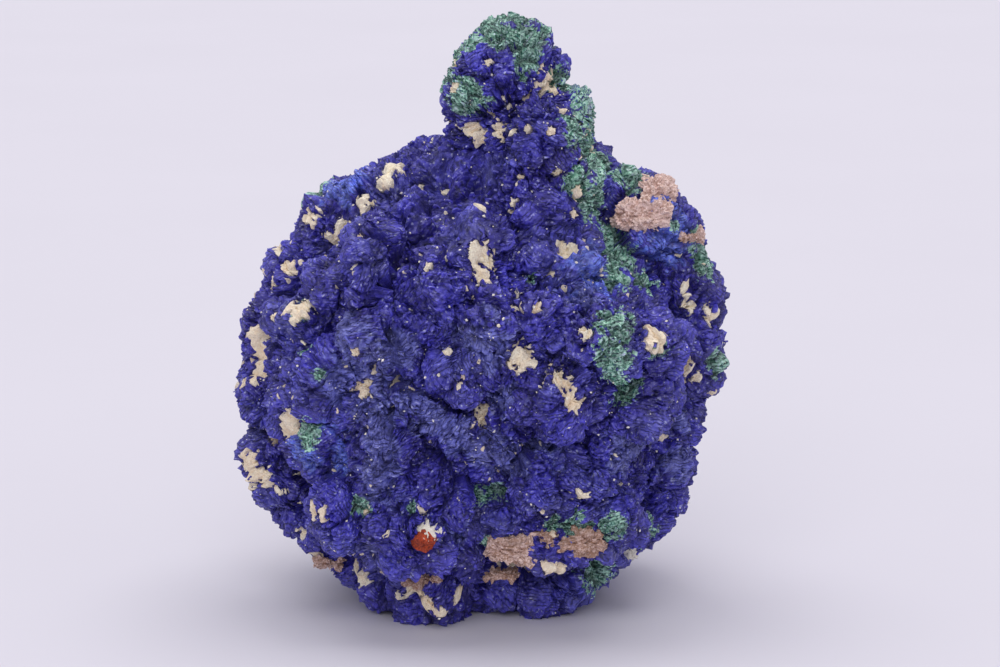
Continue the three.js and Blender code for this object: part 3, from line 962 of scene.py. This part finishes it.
def patch_shells(places, skin, seed):
    """Thin skins that lie on the crust, one closed shell for each anchor.

    Each shell is a polar grid: at angle a its edge lies at radius times a ragged sum of cosines of a. Every
    grid point moves on to the crust along its way from the heap's centre, stands proud of it in the middle
    and dives under it at the edge, and by the length dive wherever the crust isn't bare. A point behind the
    anchor closes the shell.
    """
    anchors, normals, on_column, radii = places
    rows, columns, spread, ragged_edge, proud, rough, dive = skin
    rng = np.random.default_rng(seed)
    count = len(anchors)
    a = 2 * np.pi * np.arange(columns) / columns
    order = np.arange(1, 7)
    phase = rng.uniform(0, 2 * np.pi, (count, 1, 6))
    size = rng.uniform(0.2, 1, (count, 1, 6)) * ragged_edge / order**0.6
    edge = np.clip(spread + (size * np.cos(order * a[None, :, None] + phase)).sum(2), 0.5, 1.9)
    stretch = rng.uniform(1 - 2 * ragged_edge, 1, count)[:, None, None]
    share = (np.arange(1, rows + 1) / rows) ** 0.8
    spin = rng.uniform(0, 2 * np.pi, count)
    first = unit(np.cross(normals, unit(np.stack([np.cos(spin), np.sin(spin), 0.3 + 0 * spin], 1))))
    second = np.cross(normals, first)
    far = radii[:, None, None] * edge[:, None, :] * share[None, :, None]
    x = (far * np.cos(a)).reshape(count, -1)
    y = (far * np.sin(a) * stretch).reshape(count, -1)
    flat = anchors[:, None] + first[:, None] * x[..., None] + second[:, None] * y[..., None]
    flat = np.concatenate([anchors[:, None], flat], 1)
    every, out = on_heaps(flat.reshape(-1, 3), np.repeat(on_column, flat.shape[1]))
    ringed = np.concatenate([[0], np.repeat(np.arange(1, rows + 1), columns)]) / rows
    level = proud * (1 - ringed**2) - 0.5 * smoothstep(0.85, 1.0, ringed)
    grit = rough * (wander(every, 0.7, seed + 1) + 0.7 * wander(every, 0.3, seed + 2))
    covered = 1 - cover(every, "bare") if dive else 0
    lift = np.tile(level, count) + grit - dive * covered
    points = (every + out * lift[:, None]).reshape(count, -1, 3)
    last = anchors - normals * CLAY_ROOT
    points = np.concatenate([points, last[:, None]], 1)
    points[..., 2] = np.maximum(points[..., 2], 0)
    sizes, corners = repeated(count, points.shape[1], *ball_faces(rows, columns))
    return points.reshape(-1, 3), sizes, corners


def build_patches(name, places, skin, seed, material):
    """One piece of draped shells, with a value for how warm each shell's colour is."""
    points, sizes, corners = patch_shells(places, skin, seed)
    warm = np.random.default_rng(seed + 5).uniform(size=len(places[0]))
    values = {"warmth": np.repeat(warm, len(points) // len(warm))}
    uv = cell_layout(len(warm), ball_map(*skin[:2]))
    add_piece("clay", name, points, sizes, corners, material, values, uv)


def build_clay(settings):
    """Patches of clay in the crust's hollows, and scattered specks of it."""
    material = clay_material("clay", settings.clay_colour, settings.clay_warm_colour, 0.5)
    build_patches("clay_patches", CLAY, CLAY_SKIN, CLAY_SEED, material)
    build_patches("clay_specks", specks(settings.speck_count), SPECK_SKIN, CLAY_SEED + 20, material)


def ball_directions(rows, columns):
    """Directions to the points of a ball grid, pole first."""
    theta = np.pi * np.arange(1, rows + 1) / (rows + 1)
    phi = 2 * np.pi * np.arange(columns) / columns
    theta, phi = (x.ravel() for x in np.meshgrid(theta, phi, indexing="ij"))
    middle = np.stack([np.sin(theta) * np.cos(phi), np.sin(theta) * np.sin(phi), np.cos(theta)], 1)
    return np.vstack([UP, middle, -UP])


def stone_points(centre, half, grid, seed):
    """A rough block: half way from a ball to |d_x|^4 + |d_y|^4 + |d_z|^4 = 1, raised and pitted by clumps."""
    out = ball_directions(*grid)
    square = 1 / (np.abs(out) ** 4).sum(1, keepdims=True) ** 0.25
    points = np.array(centre) + np.array(half) * out * (0.5 + 0.5 * square)
    height = 0
    cracks = []
    for k, (size, rise) in enumerate(ROCK_RELIEF):
        inner, mark = clumps(points, size, seed + 10 * k)
        height = height + rise * (mark - 0.5)
        cracks.append(inner)
    height -= ROCK_PITS * smoothstep(0.12, 0.0, np.minimum(cracks[0], cracks[1]))
    return points + unit(out / half) * height[:, None]


def build_rock(settings):
    """Blocks of bare rock that the crust has grown round."""
    material = clay_material("bare_rock", settings.rock_colour, settings.rock_dark_colour, 0.9)
    made = [stone_points(*block, ROCK_GRID, ROCK_SEED + i) for i, block in enumerate(ROCKS)]
    sizes, corners = repeated(len(made), len(made[0]), *ball_faces(*ROCK_GRID))
    values = {"warmth": np.repeat(ROCK_WARMTH, len(made[0]))}
    uv = cell_layout(len(made), ball_map(*ROCK_GRID))
    points = np.vstack(made)
    points[:, 2] = np.maximum(points[:, 2], 0)
    add_piece("clay", "bare_rock", points, sizes, corners, material, values, uv)


def build_white_grain(settings):
    """A small lump of white, sugary crystals low on the right."""
    points = stone_points(*WHITE_GRAIN, WHITE_GRAIN_GRID, ROCK_SEED + 40)
    material = clay_material("white_grain", settings.rim_colour, settings.clay_colour, 0.3)
    values = {"warmth": np.zeros(len(points))}
    sizes, corners = ball_faces(*WHITE_GRAIN_GRID)
    uv = cell_layout(1, ball_map(*WHITE_GRAIN_GRID))
    add_piece("clay", "white_grain", points, sizes, corners, material, values, uv)


def build_fan(settings):
    """Plates that spread like a hand of cards from one centre, each at its own turn from +X towards +Z."""
    rng = np.random.default_rng(FAN_SEED)
    count = len(FAN_TURNS)
    turn = FAN_TURNS + rng.normal(size=count) * 0.03
    ups = np.stack([np.cos(turn), np.full(count, -0.12), np.sin(turn)], 1)
    alongs = np.tile(unit(np.array([0.25, -1.0, 0.1])), (count, 1))
    alongs = unit(alongs - ups * (alongs * ups).sum(1, keepdims=True))
    start = FAN_CENTRE + ups * FAN_START + alongs * rng.uniform(-0.5, 0.5, count)[:, None]
    height = (settings.fan_reach / UNIT - FAN_START) * rng.uniform(0.85, 1.05, count)
    half_length = settings.fan_width / UNIT * rng.uniform(0.7, 1.1, count)
    thick = settings.fan_thickness / UNIT * rng.uniform(0.7, 1.2, count)
    made = blade_points(rng, start, ups, alongs, height, half_length, thick)
    # Painted shade and light: a low rise darkens the foot of each plate and a high one pales its top.
    rise = np.where(BLADE_UP < 0, 0.2, 0.75 + 0.25 * np.maximum(BLADE_UP, 0))
    each = 2 * BLADE_CORNERS
    values = {
        "mineral": np.repeat(rng.uniform(0.6, 1.0, count), each),
        "powder": np.zeros(each * count),
        "worn": np.zeros(each * count),
        "tone": np.repeat(rng.uniform(size=count), each),
        "rise": np.tile(rise, 2 * count),
        "rib": made[..., 1].ravel(),
    }
    add_piece("azurite", "fan_plates", *blade_parts(made, values, "malachite_plates", settings))


def build_iron(settings):
    """The iron-stained spot and the pale skin round it."""
    rim = clay_material("pale_rim", settings.rim_colour, settings.clay_colour, 0.4)
    iron = clay_material("iron_stain", settings.iron_colour, settings.iron_dark_colour, 0.8)
    build_patches("iron_rim", RIM, RIM_SKIN, IRON_SEED, rim)
    build_patches("iron_spot", anchors_on(IRON_SPOT), IRON_SKIN, IRON_SEED + 9, iron)


def build_glint_grains(settings):
    """Eight-sided grains painted pale as glints of light, scattered over the crust, most of them near the
    smallest size.
    """
    rng = np.random.default_rng(GLINT_GRAIN_SEED)
    points, normals = scattered(settings.glint_grain_count, GLINT_GRAIN_SEED)[:2]
    size = SMALLEST_GLINT_GRAIN + GLINT_GRAIN_SWING * rng.uniform(size=len(points)) ** 2.5
    first = unit(np.cross(normals, rng.normal(size=points.shape)))
    second = np.cross(normals, first)
    middle = points + normals * rng.uniform(0.1, 0.3, len(points))[:, None]
    ways = np.stack([first * 1.5, second, -first * 1.5, -second, normals * 1.2, -normals * 1.6], 1)
    made = middle[:, None] + ways * size[:, None, None]
    made[..., 2] = np.maximum(made[..., 2], 0)
    faces = [(k, (k + 1) % 4, 4) for k in range(4)] + [((k + 1) % 4, k, 5) for k in range(4)]
    sizes, corners = repeated(len(points), 6, np.full(8, 3), np.ravel(faces))
    x = np.arange(8) / 8
    local = face_corners((x, 0.0), (x + 0.12, 0.0), (x + 0.06, 1.0)).reshape(-1, 2)
    values = {"warmth": np.repeat(rng.uniform(size=len(points)), 6)}
    uv = cell_layout(len(points), local)
    made = made.reshape(-1, 3)
    add_piece("clay", "glint_grains", made, sizes, corners, glint_grain_material(settings), values, uv)


# ---------------------------------------------------------------- finishes

# What darkens a colour where single grains are dim; the painted shade down in the cracks between crystals;
# and the painted shade in pits of clay.
DIM_TINT = 0.3, 0.28, 0.4
CRACK_SHADE_TINT = 0.08, 0.06, 0.16
PIT_SHADE_TINT = 0.55, 0.45, 0.4


class Tree:
    """Short calls for laying out one node tree: values may be numbers, colours or other nodes' outputs."""

    def __init__(self, tree):
        self.tree = tree

    def add(self, kind, inputs=None, **values):
        node = self.tree.nodes.new(kind)
        for key, value in values.items():
            setattr(node, key, value)
        for key, value in (inputs or {}).items():
            self.set(node.inputs[key], value)
        return node

    def set(self, socket, value):
        if isinstance(value, bpy.types.NodeSocket):
            self.tree.links.new(value, socket)
        elif hasattr(value, "__len__") and len(value) == 3 and socket.type == "RGBA":
            socket.default_value = (*value, 1)
        else:
            socket.default_value = value

    def math(self, operation, a, b=0.0, clamp=False):
        return self.add("ShaderNodeMath", {0: a, 1: b}, operation=operation, use_clamp=clamp).outputs[0]

    def plus(self, a, b, clamp=False):
        return self.math("ADD", a, b, clamp)

    def minus(self, a, b):
        return self.math("SUBTRACT", a, b)

    def times(self, a, b):
        return self.math("MULTIPLY", a, b)

    def mix(self, share, a, b, blend="MIX"):
        node = self.add("ShaderNodeMix", data_type="RGBA", blend_type=blend)
        self.set(node.inputs["Factor"], share)
        for key, value in (("A_Color", a), ("B_Color", b)):
            socket = next(s for s in node.inputs if s.identifier == key)
            self.set(socket, value)
        return next(s for s in node.outputs if s.identifier == "Result_Color")

    def ramp(self, value, low, high, to_low=0.0, to_high=1.0):
        node = self.add("ShaderNodeMapRange", {0: value, 1: low, 2: high, 3: to_low, 4: to_high})
        return node.outputs[0]

    def noise(self, at, size_mm, detail=2.0, roughness=0.5):
        """Noise whose features are about size_mm model millimetres across."""
        inputs = {"Vector": at, "Scale": 1 / (size_mm * UNIT), "Detail": detail, "Roughness": roughness}
        return self.add("ShaderNodeTexNoise", inputs).outputs["Fac"]

    def value(self, name):
        return self.add("ShaderNodeAttribute", attribute_name=name, attribute_type="GEOMETRY").outputs["Fac"]


def grain_group():
    """Grain shared by every finish, from Object coordinates.

    It gives broad patches, fine grain, a random number for each fine cell and a height for bumps.
    """
    found = bpy.data.node_groups.get("mineral_grain")
    if found:
        return found
    group = bpy.data.node_groups.new("mineral_grain", "ShaderNodeTree")
    for name, low, default in (("Broad size", 0.1, 2.5), ("Fine size", 0.02, 0.3)):
        socket = group.interface.new_socket(name, in_out="INPUT", socket_type="NodeSocketFloat")
        socket.default_value, socket.min_value = default, low
    for name in ("Broad", "Fine", "Cell", "Height"):
        group.interface.new_socket(name, in_out="OUTPUT", socket_type="NodeSocketFloat")
    t = Tree(group)
    given = t.add("NodeGroupInput")
    at = t.add("ShaderNodeTexCoord").outputs["Object"]
    broad_scale = t.math("DIVIDE", 1 / UNIT, given.outputs["Broad size"])
    fine_scale = t.math("DIVIDE", 1 / UNIT, given.outputs["Fine size"])
    broad = t.add("ShaderNodeTexNoise", {"Vector": at, "Scale": broad_scale, "Detail": 3.0}).outputs["Fac"]
    fine = t.add("ShaderNodeTexNoise", {"Vector": at, "Scale": fine_scale, "Detail": 3.0}).outputs["Fac"]
    grit = t.add("ShaderNodeTexVoronoi", {"Vector": at, "Scale": fine_scale})
    cell = t.add("ShaderNodeSeparateColor", {"Color": grit.outputs["Color"]}).outputs[0]
    height = t.plus(t.plus(fine, grit.outputs["Distance"]), cell)
    result = t.add("NodeGroupOutput")
    made = {"Broad": t.ramp(broad, 0.3, 0.7), "Fine": t.ramp(fine, 0.3, 0.7), "Cell": cell, "Height": height}
    for name, value in made.items():
        t.set(result.inputs[name], value)
    return group


def new_material(name):
    """An empty material with its node tree and a Principled shader joined to its output."""
    material = bpy.data.materials.new(name)
    material.use_nodes = True
    material.node_tree.nodes.clear()
    t = Tree(material.node_tree)
    shader = t.add("ShaderNodeBsdfPrincipled")
    out = t.add("ShaderNodeOutputMaterial")
    material.node_tree.links.new(shader.outputs[0], out.inputs[0])
    return material, t, shader


def add_grain(t, broad_size, fine_size):
    """The shared grain at two sizes in model millimetres, as four outputs."""
    node = t.add("ShaderNodeGroup", node_tree=grain_group())
    node.inputs["Broad size"].default_value = broad_size
    node.inputs["Fine size"].default_value = fine_size
    return [node.outputs[name] for name in ("Broad", "Fine", "Cell", "Height")]


def add_bump(t, shader, height, depth_mm):
    """Bumps of the given depth from a height."""
    node = t.add("ShaderNodeBump", {"Height": height, "Distance": depth_mm * UNIT, "Strength": 1.0})
    t.set(shader.inputs["Normal"], node.outputs[0])


def crystal_material(name, settings):
    """Azurite going over to powder blue and malachite by the piece's own values, with painted shade in its
    cracks and painted highlights on its raised tops, rib crests and glints.
    """
    found = bpy.data.materials.get(name)
    if found:
        return found
    material, t, shader = new_material(name)
    broad, fine, cell, height = add_grain(t, 2.6, 0.2)
    rise = t.value("rise")
    ribs, crest_highlights = add_ribs(t, settings.rib_pitch / UNIT)
    at = t.add("ShaderNodeTexCoord").outputs["Object"]
    shade = t.plus(t.times(t.value("tone"), 0.7), t.times(broad, 0.3), clamp=True)
    blue = t.mix(shade, settings.azurite_deep, settings.azurite_bright)
    weathered = t.ramp(t.noise(at, 7.0, 3.0), 0.52, 0.68, 0.0, 0.32)
    worn = t.times(t.value("worn"), t.ramp(fine, 0.0, 1.0, 0.55, 0.95))
    weathered = t.math("MAXIMUM", weathered, worn)
    blue = t.mix(weathered, blue, settings.slate_colour)
    velvet = t.mix(t.ramp(fine, 0.0, 0.6), settings.azurite_bright, settings.powder_colour)
    blue = t.mix(t.value("powder"), blue, velvet)
    green = t.mix(t.ramp(cell, 0.1, 0.9), settings.malachite_deep, settings.malachite_pale)
    speckled = t.plus(t.value("mineral"), t.times(t.minus(cell, 0.5), 0.9))
    colour = t.mix(t.ramp(speckled, 0.42, 0.58), blue, green)
    # Pale dust in broad patches, partly painted light: it grows with rise, so raised tops and rims are
    # painted paler.
    dust_and_top_light = t.times(t.ramp(rise, 0.4, 0.9), t.ramp(broad, 0.25, 1.0, 0.0, 0.34))
    dust_and_top_light = t.times(dust_and_top_light, t.minus(1.0, t.value("powder")))
    colour = t.mix(dust_and_top_light, colour, settings.dust_and_top_light_colour)
    # Painted glints: the brightest few fine cells pale towards the highlight colour.
    colour = t.mix(t.ramp(cell, 0.92, 1.0, 0.0, 0.6), colour, settings.highlight_colour)
    # Painted highlight: the crests of the ribs on raised plates pale towards the highlight colour.
    colour = t.mix(t.times(crest_highlights, t.ramp(rise, 0.3, 0.8)), colour, settings.highlight_colour)
    dim = t.ramp(cell, 0.0, 0.5, 0.55, 0.0)
    colour = t.mix(dim, colour, t.mix(1.0, colour, DIM_TINT, "MULTIPLY"))
    # Painted shade: where rise is low, and in the cracks of the ribs, the colour is darkened nearly to black.
    shaded_crack = t.mix(1.0, colour, CRACK_SHADE_TINT, "MULTIPLY")
    unshaded_share = t.times(t.ramp(rise, 0.18, 0.6), ribs)
    t.set(shader.inputs["Base Color"], t.mix(unshaded_share, shaded_crack, colour))
    t.set(shader.inputs["Roughness"], t.ramp(cell, 0.0, 1.0, 0.6, 0.26))
    shader.inputs["IOR"].default_value = 1.6
    add_bump(t, shader, t.plus(t.times(height, 0.5), ribs), 0.06)
    return material


def add_ribs(t, pitch):
    """Fine broken ribs by the piece's own place across its plates, one to each pitch in model millimetres.

    Gives two values: 1 on a rib and less in the cracks beside it, where shade is painted, and how pale the
    crest of a rib is painted as a highlight, in patches.
    """
    at = t.add("ShaderNodeTexCoord").outputs["Object"]
    sway = t.times(t.minus(t.noise(at, 1.4, 2.0), 0.5), 3.0)
    place = t.plus(t.math("DIVIDE", t.value("rib"), pitch), sway)
    wave = t.math("PINGPONG", place, 0.5)
    kept = t.ramp(t.noise(at, 0.9, 1.0), 0.38, 0.52)
    shaded_crack = t.times(t.ramp(wave, 0.17, 0.04), kept)
    # Noise patches in which the crests of the ribs are painted pale as a highlight.
    worn = t.ramp(t.noise(at, 0.55, 2.0), 0.5, 0.68, 0.0, 0.75)
    crest = t.times(t.ramp(wave, 0.34, 0.46), worn)
    return t.minus(1.0, t.times(shaded_crack, 0.9)), crest


def clay_material(name, light, dark, depth):
    """Matt clay or rock: two colours mixed by each patch's warmth, broad stains and grit, with painted shade
    in small pits.
    """
    found = bpy.data.materials.get(name)
    if found:
        return found
    material, t, shader = new_material(name)
    broad, fine, cell, height = add_grain(t, 1.3, 0.16)
    share = t.plus(t.times(t.value("warmth"), 0.45), t.times(broad, 0.45), clamp=True)
    share = t.plus(share, t.times(t.minus(cell, 0.5), depth), clamp=True)
    colour = t.mix(share, light, dark)
    # Painted shade: the colour darkened in small pits, where the fine noise and so the bump are low.
    pit_shade = t.mix(1.0, colour, PIT_SHADE_TINT, "MULTIPLY")
    colour = t.mix(t.times(t.ramp(fine, 0.25, 0.0), depth), colour, pit_shade)
    t.set(shader.inputs["Base Color"], colour)
    t.set(shader.inputs["Roughness"], t.ramp(fine, 0.0, 1.0, 0.75, 0.95))
    add_bump(t, shader, height, 0.05)
    return material


def glint_grain_material(settings):
    """Pale, glossy grains painted as glints of light, some whiter than others."""
    material, t, shader = new_material("glint_grains")
    fine = add_grain(t, 2.0, 0.1)[1]
    t.set(shader.inputs["Base Color"], t.mix(t.value("warmth"), settings.rim_colour, settings.clay_colour))
    t.set(shader.inputs["Roughness"], t.ramp(fine, 0.0, 1.0, 0.15, 0.4))
    return material


def floor_material(settings):
    """A plain pale sheet with the faintest mottling."""
    material, t, shader = new_material("pale_floor")
    broad = add_grain(t, 60.0, 2.0)[0]
    mottled = tuple(0.985 * c for c in settings.floor_colour)
    t.set(shader.inputs["Base Color"], t.mix(broad, settings.floor_colour, mottled))
    shader.inputs["Roughness"].default_value = 0.9
    shader.inputs["Specular IOR Level"].default_value = 0.2
    return material


# ---------------------------------------------------------------- stage

def look_at(obj, place, target):
    """Puts an object at a place with its -Z axis towards the target."""
    obj.location = place
    obj.rotation_euler = (Vector(target) - Vector(place)).to_track_quat("-Z", "Y").to_euler()


def add_light(name, from_way, spread, strength):
    """A broad, distant light that shines from the given way, as soft as its spread in degrees."""
    lamp = bpy.data.lights.new(name, "SUN")
    lamp.angle = np.radians(spread)
    lamp.energy = strength
    lamp.color = LAMP_WHITE
    obj = bpy.data.objects.new(name, lamp)
    bpy.context.scene.collection.objects.link(obj)
    look_at(obj, from_way, (0, 0, 0))


def build_stage(settings):
    """The floor, the light from all round and from lamps, and the camera."""
    scene = bpy.context.scene
    low, high = (np.array(c) for c in CAD_BOX)
    middle = (low + high) / 2
    tall = high[2] - low[2]

    span = FLOOR_SPAN * tall
    mesh = bpy.data.meshes.new("floor")
    corners = [(-span, -span, 0), (span, -span, 0), (span, span, 0), (-span, span, 0)]
    mesh.from_pydata(corners, [], [(0, 1, 2, 3)])
    mesh.materials.append(floor_material(settings))
    floor = bpy.data.objects.new("floor", mesh)
    scene.collection.objects.link(floor)

    world = bpy.data.worlds.new("soft_room")
    world.use_nodes = True
    t = Tree(world.node_tree)
    lit = world.node_tree.nodes["Background"]
    t.set(lit.inputs["Color"], settings.room_colour)
    t.set(lit.inputs["Strength"], settings.room_strength)
    seen = t.add("ShaderNodeBackground", {"Color": settings.backdrop_colour, "Strength": 1.0})
    straight = t.add("ShaderNodeLightPath").outputs["Is Camera Ray"]
    both = t.add("ShaderNodeMixShader", {0: straight, 1: lit.outputs[0], 2: seen.outputs[0]})
    t.set(world.node_tree.nodes["World Output"].inputs["Surface"], both.outputs[0])
    scene.world = world

    add_light("left_light", (-0.3, 0.2, 1.0), 38, settings.side_light)
    add_light("right_light", (0.3, 0.2, 1.0), 38, settings.side_light)
    add_light("front_light", (-0.1, -1.1, 0.85), 45, settings.front_light)

    camera_data = bpy.data.cameras.new("camera")
    camera_data.lens = settings.lens
    camera_data.sensor_width = 36
    camera = bpy.data.objects.new("camera", camera_data)
    scene.collection.objects.link(camera)
    rise = settings.camera_rise
    aim = np.array([settings.aim_x, middle[1], settings.aim_z])
    away = tall * settings.camera_distance * np.array([0, -np.cos(rise), np.sin(rise)])
    look_at(camera, aim + away, aim)
    scene.camera = camera
    scene.view_settings.view_transform = "Standard"


# ---------------------------------------------------------------- settings, operators and panel

def rgb(red, green, blue):
    """A screen colour, 0 to 255, as the linear numbers that a colour property holds."""
    v = np.array([red, green, blue]) / 255
    return tuple(float(x) for x in np.where(v <= 0.04045, v / 12.92, ((v + 0.055) / 1.055) ** 2.4))


def colour(name, description, *screen):
    """A colour property whose default is the given screen colour."""
    kind = {"size": 3, "min": 0, "max": 1, "subtype": "COLOR"}
    return FloatVectorProperty(name=name, description=description, default=rgb(*screen), **kind)


def length(name, description, millimetres):
    """A size in metres whose default is the given model millimetres."""
    kind = {"min": 0, "precision": 5, "unit": "LENGTH"}
    return FloatProperty(name=name, description=description, default=millimetres * UNIT, **kind)


class AzuriteSettings(bpy.types.PropertyGroup):
    """Sizes and counts of the crystals, colours of the minerals, the lights and the camera"""

    rib_pitch: length("Rib pitch", "From one fine rib of a cushion to the next", 0.34)
    fan_reach: length("Fan reach", "How far the fan's plates reach from its centre", 3.1)
    fan_width: length("Fan width", "Half the length of the fan's plates", 2.2)
    fan_thickness: length("Fan thickness", "Thickness of the fan's plates", 0.55)
    chip_count: IntProperty(name="Chips", description="Chips of crystal to try", default=3600, min=100)
    speck_count: IntProperty(name="Specks", description="Specks of clay to try", default=420, min=100)
    glint_grain_count: IntProperty(name="Grains", description="Glint grains to try", default=2200, min=100)
    azurite_deep: colour("Azurite, deep", "Deepest blue of the crystals", 46, 34, 140)
    azurite_bright: colour("Azurite, bright", "Brightest blue of the crystals", 86, 82, 230)
    slate_colour: colour("Azurite, weathered", "Greyer blue of weathered cushions", 124, 132, 214)
    powder_colour: colour("Powder blue", "Pale velvety blue of the finest crystals", 122, 150, 255)
    # Partly pale dust, partly painted light on the raised tops of the cushions.
    dust_and_top_light_colour: colour("Dust and top light", "Pale dust, and painted light, on the tops of the cushions", 134, 134, 190)
    # Painted highlight: the colour of the glints and of the light on the crests of ribs.
    highlight_colour: colour("Painted highlight", "Pale colour of the painted glints and rib crests", 196, 198, 238)
    malachite_deep: colour("Malachite, deep", "Darker green", 42, 130, 98)
    malachite_pale: colour("Malachite, pale", "Paler green of the finest needles", 190, 238, 212)
    clay_colour: colour("Clay", "Cream clay between the cushions", 252, 245, 222)
    clay_warm_colour: colour("Clay, warm", "The warmest of the clay", 238, 216, 188)
    rock_colour: colour("Rock", "Pinkish bare rock", 244, 218, 210)
    rock_dark_colour: colour("Rock, dark", "Stained rock", 170, 134, 114)
    rim_colour: colour("Pale rim", "Nearly white crust", 238, 234, 226)
    iron_colour: colour("Iron stain", "Orange-red of the iron spot", 204, 84, 46)
    iron_dark_colour: colour("Iron stain, dark", "Darkest red of the iron spot", 120, 40, 26)
    floor_colour: colour("Floor", "Pale sheet that the specimen stands on", 217, 215, 223)
    room_colour: colour("Room light", "Colour of the light from all round", 226, 224, 238)
    backdrop_colour: colour("Backdrop", "Colour of the room behind the floor", 227, 223, 236)
    room_strength: FloatProperty(
        name="Room light strength", description="Light from all round", default=0.56, min=0
    )
    side_light: FloatProperty(
        name="Side lights", description="Strength of each light from above", default=0.84, min=0
    )
    front_light: FloatProperty(
        name="Front light", description="Strength of the light from in front", default=1.03, min=0
    )
    lens: FloatProperty(
        name="Lens", description="Focal length of the camera", default=106.5, min=1, unit="CAMERA"
    )
    camera_rise: FloatProperty(
        name="Camera rise", description="Angle above the floor", default=np.radians(12), subtype="ANGLE"
    )
    camera_distance: FloatProperty(
        name="Camera distance", description="In heights of the specimen", default=5.0
    )
    aim_x: FloatProperty(name="Aim X", description="Where the camera looks", default=0.0013, unit="LENGTH")
    aim_z: FloatProperty(name="Aim Z", description="Where the camera looks", default=0.0275, unit="LENGTH")


class AZURITE_OT_add_stage(bpy.types.Operator):
    """Set up the floor, lights and camera"""

    bl_idname = "azurite.add_stage"
    bl_label = "Stage"
    bl_options = {"REGISTER", "UNDO"}

    def execute(self, context):
        build_stage(context.scene.azurite)
        return {"FINISHED"}


class AZURITE_OT_add_nodule_crust(bpy.types.Operator):
    """Grow the crystal crust of the nodule"""

    bl_idname = "azurite.add_nodule_crust"
    bl_label = "Nodule crust"
    bl_options = {"REGISTER", "UNDO"}

    def execute(self, context):
        build_nodule_crust(context.scene.azurite)
        return {"FINISHED"}


class AZURITE_OT_add_column_crust(bpy.types.Operator):
    """Grow the crystal crust of the column"""

    bl_idname = "azurite.add_column_crust"
    bl_label = "Column crust"
    bl_options = {"REGISTER", "UNDO"}

    def execute(self, context):
        build_column_crust(context.scene.azurite)
        return {"FINISHED"}


class AZURITE_OT_add_blades(bpy.types.Operator):
    """Stand chips of crystal on the crust"""

    bl_idname = "azurite.add_blades"
    bl_label = "Crystal chips"
    bl_options = {"REGISTER", "UNDO"}

    def execute(self, context):
        build_blades(context.scene.azurite)
        return {"FINISHED"}


class AZURITE_OT_add_clay(bpy.types.Operator):
    """Lay the clay patches and specks between the cushions"""

    bl_idname = "azurite.add_clay"
    bl_label = "Clay"
    bl_options = {"REGISTER", "UNDO"}

    def execute(self, context):
        build_clay(context.scene.azurite)
        return {"FINISHED"}


class AZURITE_OT_add_rock(bpy.types.Operator):
    """Lay bare the pinkish rock"""

    bl_idname = "azurite.add_rock"
    bl_label = "Rock"
    bl_options = {"REGISTER", "UNDO"}

    def execute(self, context):
        build_rock(context.scene.azurite)
        return {"FINISHED"}


class AZURITE_OT_add_white_grain(bpy.types.Operator):
    """Add the lump of white crystals low on the right"""

    bl_idname = "azurite.add_white_grain"
    bl_label = "White grain"
    bl_options = {"REGISTER", "UNDO"}

    def execute(self, context):
        build_white_grain(context.scene.azurite)
        return {"FINISHED"}


class AZURITE_OT_add_fan(bpy.types.Operator):
    """Fan out the thick plates on the column"""

    bl_idname = "azurite.add_fan"
    bl_label = "Fan of plates"
    bl_options = {"REGISTER", "UNDO"}

    def execute(self, context):
        build_fan(context.scene.azurite)
        return {"FINISHED"}


class AZURITE_OT_add_iron(bpy.types.Operator):
    """Add the iron-stained spot and its pale rim"""

    bl_idname = "azurite.add_iron"
    bl_label = "Iron spot"
    bl_options = {"REGISTER", "UNDO"}

    def execute(self, context):
        build_iron(context.scene.azurite)
        return {"FINISHED"}


class AZURITE_OT_add_glint_grains(bpy.types.Operator):
    """Scatter the tiny pale grains that stand in for glints of light"""

    bl_idname = "azurite.add_grains"
    bl_label = "Glint grains"
    bl_options = {"REGISTER", "UNDO"}

    def execute(self, context):
        build_glint_grains(context.scene.azurite)
        return {"FINISHED"}


STEPS = [
    AZURITE_OT_add_stage,
    AZURITE_OT_add_nodule_crust,
    AZURITE_OT_add_column_crust,
    AZURITE_OT_add_blades,
    AZURITE_OT_add_clay,
    AZURITE_OT_add_rock,
    AZURITE_OT_add_white_grain,
    AZURITE_OT_add_fan,
    AZURITE_OT_add_iron,
    AZURITE_OT_add_glint_grains,
]


class AZURITE_PT_panel(bpy.types.Panel):
    """Lists the steps that build the specimen, and its sizes and colours"""

    bl_idname = "AZURITE_PT_panel"
    bl_label = "Azurite Specimen"
    bl_space_type = "VIEW_3D"
    bl_region_type = "UI"
    bl_category = "Azurite"

    def draw(self, context):
        for step in STEPS:
            self.layout.operator(step.bl_idname)
        for key in AzuriteSettings.__annotations__:
            self.layout.prop(context.scene.azurite, key)


CLASSES = [AzuriteSettings, *STEPS, AZURITE_PT_panel]


def register():
    """Registers the settings, the operators and the panel."""
    for cls in CLASSES:
        bpy.utils.register_class(cls)
    bpy.types.Scene.azurite = PointerProperty(type=AzuriteSettings)


def unregister():
    """Takes them away again, the last one first."""
    del bpy.types.Scene.azurite
    for cls in reversed(CLASSES):
        bpy.utils.unregister_class(cls)


def main():
    """Registers the settings, operators and panel, then builds the scene step by step."""
    register()
    for step in STEPS:
        getattr(bpy.ops.azurite, step.bl_idname.split(".")[1])()


if __name__ == "__main__":
    main()
